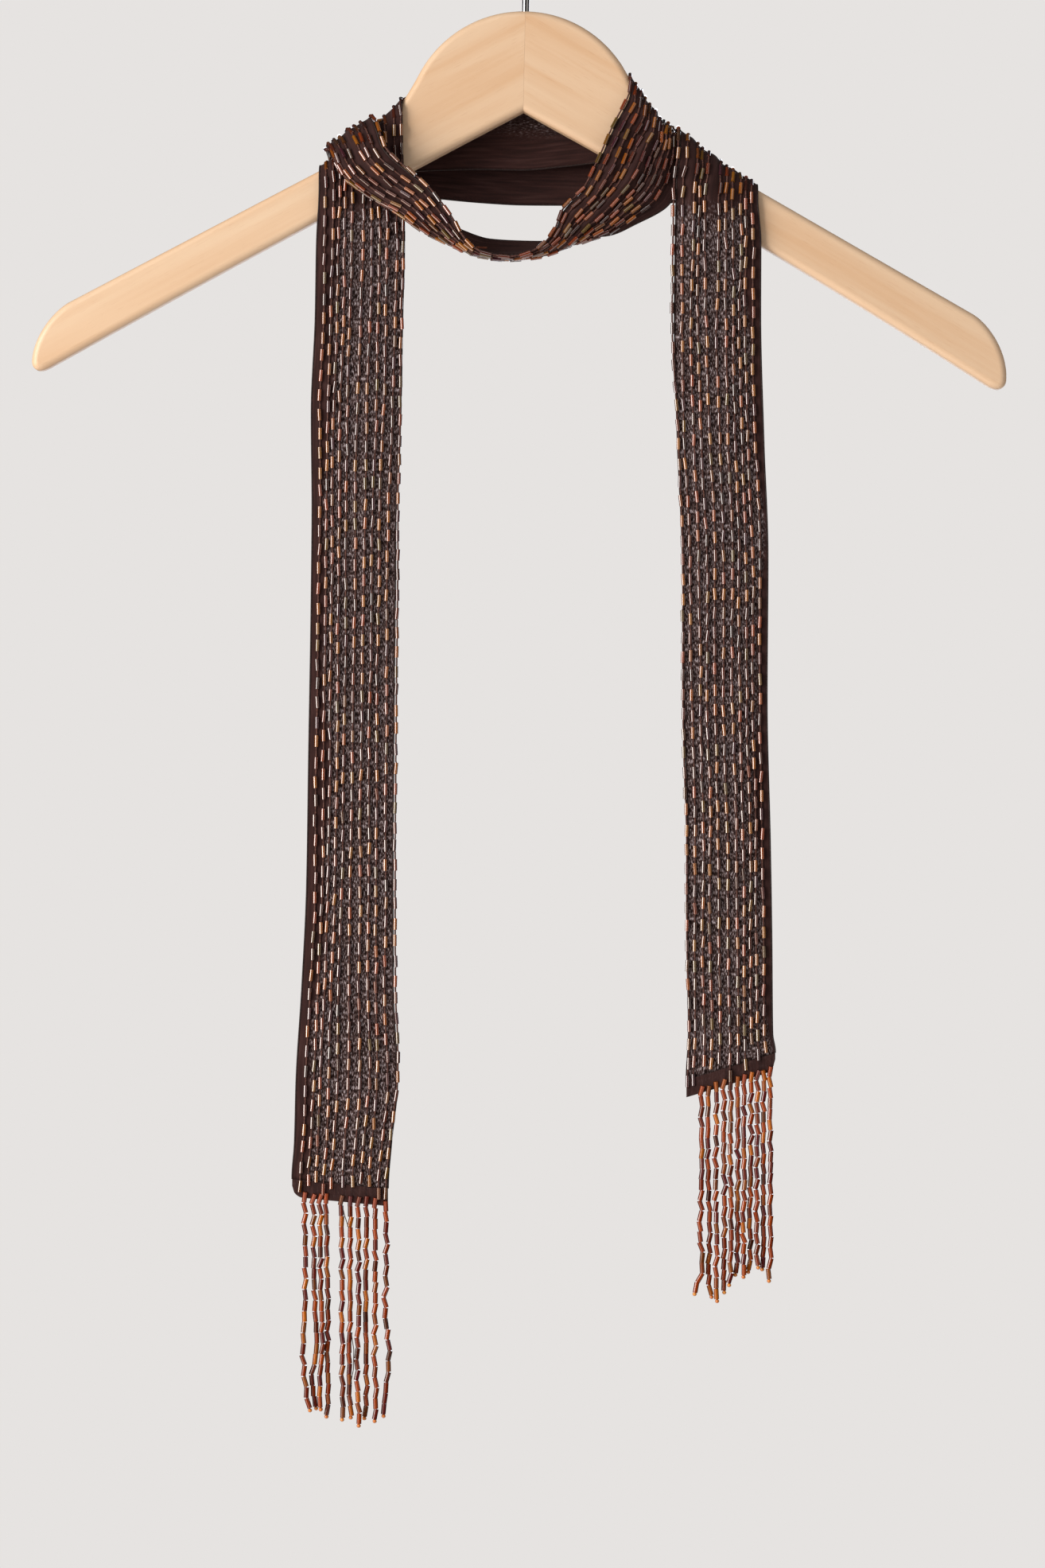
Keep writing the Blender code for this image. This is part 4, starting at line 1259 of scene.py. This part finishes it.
# %% Tables of the rows
BEAD_LENGTH, BEAD_DIAMETER, BEAD_HOLE = 5.2, 1.8, 0.8
BEAD_PITCH = 8.8
ON_HEM = 7.2
PRESSED, DEEPEST = 2.0, 0.8
THREAD_RADIUS = 0.4
ROW_FIELDS = ("share", "phase")
BEAD_ROWS = (
    (-0.026, 0.61), (0.09, 0.56), (0.195, 0.12), (0.28, 0.24), (0.375, 0.07), (0.483, 0.96),
    (0.59, 0.84), (0.67, 0.46), (0.75, 0.02), (0.822, 0.84), (0.908, 0.48),
)
GATHER_FIELDS = ("stretch", "from", "to", "squeeze")
GATHERS = (
    ("swag_front", 0.02, 0.42, 0.10),
    ("swag_front", 0.36, 0.72, 0.16),
    ("swag_front", 0.56, 1.02, 0.26),
)
GAP_FIELDS = ("stretch", "from", "to", "centre", "reach", "push")
ROW_GAPS = (
    ("tail_right", -0.04, 0.26, 0.44, 0.10, 0.040),
    ("tail_right", -0.04, 0.22, 0.15, 0.08, 0.022),
    ("tail_right", -0.04, 0.22, 0.72, 0.08, 0.022),
    ("tail_left", 0.72, 1.02, 0.50, 0.10, 0.030),
    ("swag_front", 0.55, 0.98, 0.30, 0.10, 0.025),
)
# The first row lies on or just inside the neck edge: share along the stretch, share across it
EDGE_ROW = {
    "tail_left": (
        (0.0, 0.022), (0.07, 0.010), (0.14, -0.026), (0.58, -0.028), (0.72, 0.012), (1.0, 0.012),
    ),
    "tail_right": (
        (0.0, -0.026), (0.26, -0.028), (0.36, 0.014), (0.52, 0.0), (0.7, -0.022), (1.0, 0.014),
    ),
}
ROW_SAMPLING = 0.6
PLACE_SPREAD, TURN_SPREAD, SIDE_SPREAD = 0.45, 0.045, 0.14
STITCH_LEAVES, THREAD_IN_BEAD, THREAD_PRESSED = 1.25, 0.9, 0.9
BEAD_EDGE_ANGLE, THREAD_EDGE_ANGLE, DROP_EDGE_ANGLE = 40, 60, 80
THREAD_SIDES = 6
print("rows of beads:", len(BEAD_ROWS))

# %% [markdown]
# ## Sewing
# A bead is a stiff tube on a soft cloth. It lies along the chord between its two ends, pressed a
# little into the cloth where the cloth is curved, and its ends set the thread's direction. The
# thread dips to the cloth after one bead and rises from it before the next.

# %% Sew the beads
def row_share(share, at):
    """Where a row lies across the strip: it wanders, and moves with gathers and pleats."""
    v = share + 0.006 * np.sin(at / 41.0 + 9 * share) + 0.004 * np.sin(at / 15.0 + 23 * share)

    def swell(row):
        """How much of a gather or gap is felt here: none at its ends, all in its middle."""
        low, high = strip.spans[row["stretch"]]
        part = (at - low) / (high - low)
        t = np.clip((part - row["from"]) / (row["to"] - row["from"]), 0, 1)
        return np.sin(math.pi * t) ** 0.6 * (part >= 0) * (part <= 1)

    if share < 0:
        for name, swing in EDGE_ROW.items():
            low, high = strip.spans[name]
            part = (at - low) / (high - low)
            inside = (part >= -0.02) & (part <= 1.02)
            v = np.where(inside, np.interp(part, *zip(*swing)), v)
    for row in named(GATHER_FIELDS, GATHERS):
        v = v - max(share, 0.0) * row["squeeze"] * swell(row)
    for row in named(GAP_FIELDS, ROW_GAPS):
        away = share - row["centre"]
        v = v + swell(row) * row["push"] * math.copysign(math.exp(-abs(away) / row["reach"]), away)
    return v


def sew_row(share, phase, low, high, rng):
    """Middle, direction, facing and tint of each bead of a row, and the stitches between them."""
    at = np.linspace(low, high, max(2, int((high - low) / ROW_SAMPLING)))
    v = row_share(share, at)
    line = strip.point(at, v, strip.thickness(at))
    run = np.concatenate(((0.0,), np.cumsum(np.linalg.norm(np.diff(line, axis=0), axis=1))))
    count = int(run[-1] / BEAD_PITCH)
    middles = (np.arange(count) + phase) * BEAD_PITCH + rng.normal(0, PLACE_SPREAD, count)
    middles = middles[(middles > BEAD_LENGTH / 2) & (middles < run[-1] - BEAD_LENGTH / 2)]

    def on_row(distance, height):
        """Points at distances along the row, a height off the cloth, and the cloth's facing there."""
        here = np.interp(distance, run, at)
        across = np.interp(distance, run, v)
        normal = strip.normal(here, across)
        return strip.point(here, across, strip.thickness(here)) + normal * height, normal

    half = BEAD_LENGTH / 2
    tail, _ = on_row(middles - half, BEAD_DIAMETER / 2)
    head, _ = on_row(middles + half, BEAD_DIAMETER / 2)
    middle, facing = on_row(middles, BEAD_DIAMETER / 2)
    threading = unit(head - tail)
    sideways = np.cross(facing, threading)
    threading = unit(threading + sideways * rng.normal(0, TURN_SPREAD, (len(middles), 1)))
    chord = (head + tail) / 2
    bulge = np.linalg.norm(middle - chord, axis=1, keepdims=True)
    middle = chord - facing * np.minimum(PRESSED * bulge, DEEPEST)
    middle = middle + sideways * rng.normal(0, SIDE_SPREAD, (len(middles), 1))
    tint = rng.random(len(middles))
    leave = middles[:-1] + half * STITCH_LEAVES
    arrive = middles[1:] - half * STITCH_LEAVES
    low_leave, _ = on_row(leave, THREAD_RADIUS * THREAD_PRESSED)
    low_arrive, _ = on_row(arrive, THREAD_RADIUS * THREAD_PRESSED)
    stitches = np.stack(
        (
            middle[:-1] + threading[:-1] * half * THREAD_IN_BEAD,
            low_leave,
            low_arrive,
            middle[1:] - threading[1:] * half * THREAD_IN_BEAD,
        ),
        axis=1,
    )
    return middle, threading, facing, tint, list(stitches)


FIRST_SEED = 100
bead_pieces, thread_pieces = {}, {}
total_beads = 0
for number, name in enumerate(STRETCHES):
    rng = np.random.default_rng(FIRST_SEED + number)
    low, high = strip.spans[name]
    low -= ON_HEM * (name == "tail_left")
    high += ON_HEM * (name == "tail_right")
    sewn = [sew_row(**row, low=low, high=high, rng=rng) for row in named(ROW_FIELDS, BEAD_ROWS)]
    places, threading, facing, tint = (np.concatenate([row[k] for row in sewn]) for k in range(4))
    base = points_mesh("points_" + name, places, threading, facing, tint)
    bead_pieces[name] = run_tree(
        "beads_" + name, base, tube_beads, sewn_glass, BEAD_EDGE_ANGLE,
        Length=BEAD_LENGTH * MM, Diameter=BEAD_DIAMETER * MM, Hole=BEAD_HOLE * MM,
    )
    stitches = [stitch for row in sewn for stitch in row[4]]
    thread_pieces[name] = run_tree(
        "stitches_" + name, lines_mesh("stitch_lines", stitches), sweep, brown_thread, THREAD_EDGE_ANGLE,
        Radius=THREAD_RADIUS * MM, Sides=THREAD_SIDES,
    )
    total_beads += len(places)
    print(f"beads_{name}: {len(places)} beads, {len(stitches)} stitches")
print("beads sewn on the cloth:", total_beads)

# %% [markdown]
# ## Edges and hems
# The long edges are rolled by hand: a thin roll of cloth runs down each side. At both ends the cloth
# is turned up and doubled, which is why the hems look darker than the sheer cloth above them.

# %% Roll the edges
ROLL_RADIUS, ROLL_STEP, ROLL_SIDES = 0.42, 1.6, 8
edge_pieces = {}
for name in STRETCHES:
    low, high = strip.spans[name]
    at = np.linspace(low, high, max(3, round((high - low) / ROLL_STEP)))
    rolls = [strip.point(at, np.full_like(at, share), CLOTH / 2) for share in (0.0, 1.0)]
    edge_pieces[name] = run_tree(
        "rolled_edges_" + name, lines_mesh("edge_lines", rolls), sweep, rolled_cloth, THREAD_EDGE_ANGLE,
        Radius=ROLL_RADIUS * MM, Sides=ROLL_SIDES,
    )

print("rolled edges:", len(edge_pieces))

# %% [markdown]
# ## Hems
# The doubled end is a shell like the cloth, 0.9 mm thick. Its grid stops short at one corner, so
# that the corner is round, as the turned cloth is there.

# %% Make the hems
HEM_COLUMNS, HEM_ROWS = 48, 10
CORNER = 5.0
# The doubled hems take almost none of the painted light fleck.
HEM_PAINTED_LIGHT_FLECK = 0.03


def hem_piece(name, seam, end):
    """The doubled end of the strip, from its seam to its lower edge, with a rounded outer corner."""
    v = np.linspace(0, 1, HEM_COLUMNS + 1)
    edge_at = np.full_like(v, end)
    edge = strip.point(edge_at, v)
    from_corner = np.clip(CORNER - np.linalg.norm(edge - edge[-1], axis=1), 0, CORNER)
    cut = CORNER - np.sqrt(CORNER**2 - from_corner**2)
    shares = np.linspace(0, 1, HEM_ROWS + 1)[:, None]
    stop = end + np.sign(seam - end) * cut
    at = seam + (stop - seam) * shares
    if end < seam:
        at = at[::-1]
    across = np.tile(v, HEM_ROWS + 1)
    inner = strip.point(at.ravel(), across)
    outer = inner + strip.normal(at.ravel(), across) * HEM_THICKNESS
    uv = np.stack((across * PATTERN_WIDTH, at.ravel()), axis=1)
    shape = (HEM_ROWS + 1, HEM_COLUMNS + 1, 3)
    painted_light_fleck = np.full(len(uv), HEM_PAINTED_LIGHT_FLECK)
    return shell(name, inner.reshape(shape), outer.reshape(shape), uv, painted_light_fleck, chiffon)


HEMS = {
    "fringe_left": ("hem_left", strip.places[1], strip.places[0]),
    "fringe_right": ("hem_right", strip.places[-2], strip.places[-1]),
}
hem_pieces = {node: hem_piece(*hem) for node, hem in HEMS.items()}
print("hems:", ", ".join(piece.name for piece in hem_pieces.values()))

# %% [markdown]
# ## Fringes
# Each strand is a thread with bugle beads strung end to end and a round golden bead that keeps them
# on. Neighbouring beads never line up quite, so a strand is a soft zigzag. The first bead of a
# strand is sewn flat on the hem. The middle line of every strand is the one its solid has: the
# table gives its distance from the hem's left end, seen from the front, at six heights, how far it
# drifts forward, and its length.

# %% Tables of the strands
STRAND_FIELDS = ("top", "quarter", "half", "seven_tenths", "low", "end", "forward", "length")
STRAND_HEIGHTS = {"top": 0.0, "quarter": 0.25, "half": 0.5, "seven_tenths": 0.7, "low": 0.85, "end": 1.0}
LEFT_STRANDS = (
    (5.7, 6.1, 5.9, 5.0, 6.1, 8.2, 1.5, 96.9),
    (9.7, 9.8, 10.3, 11.4, 8.8, 10.9, -1.5, 96.0),
    (12.9, 12.9, 13.4, 13.9, 12.6, 12.8, 1.4, 95.8),
    (15.7, 15.8, 16.3, 15.9, 16.4, 15.8, -1.4, 99.2),
    (22.5, 22.6, 22.7, 22.8, 23.1, 23.1, 0.8, 99.6),
    (26.6, 26.4, 26.5, 26.0, 26.0, 27.3, -0.6, 98.4),
    (30.3, 30.3, 30.3, 29.6, 30.0, 30.8, 1.6, 101.5),
    (33.8, 33.7, 33.5, 33.8, 33.8, 33.0, -1.6, 98.2),
    (37.8, 37.9, 37.8, 37.7, 38.0, 37.8, 0.6, 98.8),
    (42.6, 42.9, 42.4, 44.2, 42.8, 41.2, -0.8, 96.2),
)
RIGHT_STRANDS = (
    (7.0, 6.9, 6.6, 6.1, 7.4, 2.6, 1.4, 91.6),
    (9.9, 9.8, 10.2, 10.7, 10.0, 11.3, -1.4, 94.2),
    (13.5, 13.5, 13.3, 13.8, 13.5, 13.6, 0.8, 96.9),
    (17.1, 17.0, 17.3, 17.4, 17.0, 17.0, -1.2, 94.2),
    (20.1, 20.0, 20.1, 20.2, 20.0, 19.6, 1.2, 91.5),
    (23.4, 23.3, 23.4, 23.1, 23.3, 22.2, -1.0, 88.0),
    (26.3, 26.1, 26.4, 25.8, 25.9, 26.1, 1.0, 89.6),
    (29.5, 29.3, 29.4, 28.6, 29.3, 28.2, -1.4, 88.5),
    (32.3, 32.2, 32.0, 31.8, 32.0, 32.5, 1.4, 87.0),
    (35.2, 35.1, 35.0, 35.0, 35.1, 34.8, -1.2, 88.9),
    (38.1, 38.0, 38.1, 38.1, 38.4, 36.9, 0.8, 94.8),
)
STRAND_START, STRAND_POINTS = 0.6, 60
STRUNG_LENGTH, STRUNG_DIAMETER, STRUNG_PITCH, STRUNG_HOLE = 4.8, 2.2, 4.85, 0.7
DROP_DIAMETER, DROP_SUNK = 1.9, 0.45
STRAND_THREAD_RADIUS = 0.2
FIRST_BEAD = (0.3, 1.9)
ZIGZAG, LEAN = 0.32, 0.1
SIDE_SWING, DEPTH_SWING = 0.14, 0.12
TOWARDS_VIEWER, DOWN = (0.0, -1.0, 0.0), (0.0, 0.0, -1.0)
print("strands:", len(LEFT_STRANDS), "and", len(RIGHT_STRANDS))


# %% [markdown]
# ## Stringing
# The length of a strand is divided into a whole number of beads, so that none is cut and none
# hangs loose. Each joint between two beads swings to the left and right in turn, by a little more or
# less each time, and a bead lies from one joint to the next. The thread goes through all joints.

# %% String the beads
def strand_line(hem, strand, count):
    """Points down the middle of a strand, from just under its hem."""
    ends = dict(zip(HEM_FIELDS, hem))
    left, right = sorted(((ends["neck_x"], ends["neck_z"]), (ends["outer_x"], ends["outer_z"])))
    start_z = left[1] + (right[1] - left[1]) * strand["top"] / math.dist(left, right)
    heights = np.array(list(STRAND_HEIGHTS.values()))
    drift = np.array([[strand[height]] for height in STRAND_HEIGHTS])
    t = np.linspace(0, 1, count)
    across = left[0] + along(heights, drift, t)[:, 0]
    y = ends["y"] - HEM_THICKNESS
    return np.stack(
        (across, y - strand["forward"] * t, start_z - STRAND_START - t * strand["length"]), axis=1
    )


def string_fringe(name, hem, table, seed, loose):
    """Beads, drops and thread of one fringe."""
    rng = np.random.default_rng(seed)
    hem_face = dict(zip(HEM_FIELDS, hem))["y"] - HEM_THICKNESS
    places, threading, tint, threads, drops = [], [], [], [], []
    for strand in named(STRAND_FIELDS, table):
        line = strand_line(hem, strand, STRAND_POINTS)
        run = np.concatenate(((0.0,), np.cumsum(np.linalg.norm(np.diff(line, axis=0), axis=1))))
        first = rng.uniform(*FIRST_BEAD)
        free = run[-1] - DROP_DIAMETER - first
        count = round(free / STRUNG_PITCH)
        stops = first + np.arange(-1, count + 1) * free / count
        joints = np.stack([np.interp(stops, run, line[:, k]) for k in range(3)], axis=1)
        joints[0, 2] = joints[1, 2] + STRUNG_PITCH
        swing = ZIGZAG * (-1.0) ** np.arange(len(joints)) + rng.normal(0, SIDE_SWING, len(joints))
        joints[:, 0] += swing
        joints[:, 1] += rng.normal(0, DEPTH_SWING, len(joints))
        joints[0, 1] = hem_face - STRUNG_DIAMETER / 2
        middles = (joints[1:] + joints[:-1]) / 2
        leans = unit(joints[1:] - joints[:-1])
        leans[:, 0] += rng.normal(0, LEAN, len(leans))
        places.append(middles)
        threading.append(unit(leans))
        tint.append(rng.random(len(middles)))
        threads.append(joints)
        drops.append(joints[-1] - (0.0, 0.0, DROP_DIAMETER * DROP_SUNK))
    places, threading, tint = (np.concatenate(parts) for parts in (places, threading, tint))
    facing = np.tile(TOWARDS_VIEWER, (len(places), 1))
    beads = run_tree(
        "strung_beads_" + name, points_mesh("strung", places, threading, facing, tint),
        tube_beads, strung_glass, BEAD_EDGE_ANGLE,
        Length=STRUNG_LENGTH * MM, Diameter=STRUNG_DIAMETER * MM, Hole=STRUNG_HOLE * MM,
    )
    drops = np.array(drops)
    down = np.tile(DOWN, (len(drops), 1))
    out = np.tile(TOWARDS_VIEWER, (len(drops), 1))
    ends = run_tree(
        "drop_beads_" + name, points_mesh("drops", drops, down, out, rng.random(len(drops))),
        drop_beads, drop_glass, DROP_EDGE_ANGLE, Diameter=DROP_DIAMETER * MM,
    )
    threads += loose
    thread = run_tree(
        "strand_thread_" + name, lines_mesh("strand_lines", threads), sweep, dark_thread,
        THREAD_EDGE_ANGLE, Radius=STRAND_THREAD_RADIUS * MM, Sides=THREAD_SIDES,
    )
    print(f"fringe {name}: {len(places)} beads on {len(drops)} strands")
    return beads, ends, thread


# Two thread ends that hang free among the left strands, from the hem and from between two beads
LOOSE_THREADS = [
    np.array([(-84.6, -12.4, -606.0), (-83.4, -12.9, -611.0), (-81.6, -13.2, -616.5)]),
    np.array(
        [(-80.4, -13.2, -664.0), (-79.2, -13.6, -672.0), (-79.4, -13.7, -681.0), (-81.0, -13.2, -689.0)]
    ),
]
LEFT_SEED, RIGHT_SEED = 7, 8
fringe_pieces = {
    "fringe_left": string_fringe("left", LEFT_HEM, LEFT_STRANDS, LEFT_SEED, LOOSE_THREADS),
    "fringe_right": string_fringe("right", RIGHT_HEM, RIGHT_STRANDS, RIGHT_SEED, []),
}

# %% [markdown]
# ## The hook
# The hook is a single bent wire. Its middle line is the solid's, with four times as many points
# round the bow, and is swept with the same tree as the threads, so that the chrome reflects in one
# clean line.

# %% Bend the hook
WIRE_RADIUS, BOW_RADIUS = 1.65, 20.0
BOW_START, BOW_END = -50.0, 192.0
STEM_STRAIGHT, STEM_PULL, BOW_PULL = 11.0, 5.5, 6.0
BOW_POINTS, NECK_POINTS, WIRE_SIDES = 97, 20, 24


def hook_line():
    """The wire's middle line, from the board up the stem and round the bow."""
    base = DOME_HEIGHT - APEX_BELOW_BOW + HALF_GAP
    reach = BOW_RADIUS + WIRE_RADIUS
    angles = np.radians(np.linspace(BOW_START, BOW_END, BOW_POINTS))
    bow = np.stack((reach * np.cos(angles), reach * np.sin(angles) - BOW_RADIUS), axis=1)
    stem = np.array(((0.0, base), (0.0, base + STEM_STRAIGHT / 2), (0.0, base + STEM_STRAIGHT)))
    leave = np.array((-math.sin(angles[0]), math.cos(angles[0])))
    neck = curve_through(
        stem[-1], stem[-1] + (0.0, STEM_PULL), bow[0] - leave * BOW_PULL, bow[0], NECK_POINTS
    )
    level = np.concatenate((stem, neck[1:], bow[1:]))
    placed = hang(level + (0.0, APEX_BELOW_BOW))
    return np.stack((placed[:, 0], 0 * placed[:, 0], placed[:, 1]), axis=1)


hook = run_tree(
    "hook_wire", lines_mesh("hook_line", [hook_line()]), sweep, chrome, THREAD_EDGE_ANGLE,
    Radius=WIRE_RADIUS * MM, Sides=WIRE_SIDES,
)
print("hook wire points:", len(hook.data.vertices))

# %% [markdown]
# ## Riding on the body
# Every new piece rides on the one body, and the solids that the cloth, hems, boards and hook stand
# for are hidden.

# %% Ride and replace
SLOTS = (
    (cloths, "chiffon"),
    (bead_pieces, "bugle_beads"),
    (thread_pieces, "thread"),
    (edge_pieces, "chiffon"),
)
for pieces, slot in SLOTS:
    for piece in pieces.values():
        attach(piece, "root")
for name, piece in cloths.items():
    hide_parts(name)
for name, piece in hem_pieces.items():
    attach(piece, "root")
    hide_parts(name)
for beads, ends, thread in fringe_pieces.values():
    for piece, slot in ((beads, "fringe_beads"), (ends, "drop_beads"), (thread, "thread")):
        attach(piece, "root")
for node, board in boards.items():
    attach(board, "root")
    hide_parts(node)
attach(hook, "root")
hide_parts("hook")

RESTS = {
    "tail_left": ("hung", ["hanger_left"]),
    "back_inner": ("draped", ["hanger_left", "hanger_right"]),
    "swag_front": ("draped", ["hanger_right", "cloth_tail_left"]),
    "back_outer": ("draped", ["cloth_back_inner"]),
    "tail_right": ("hung", ["hanger_right"]),
}
for name, (held, rests_on) in RESTS.items():
    with_pieces = [bead_pieces[name], thread_pieces[name], edge_pieces[name]]
    end = {"tail_left": "fringe_left", "tail_right": "fringe_right"}.get(name)
    if end:
        with_pieces += [hem_pieces[end], *fringe_pieces[end]]

print("sheets:", ", ".join(RESTS))
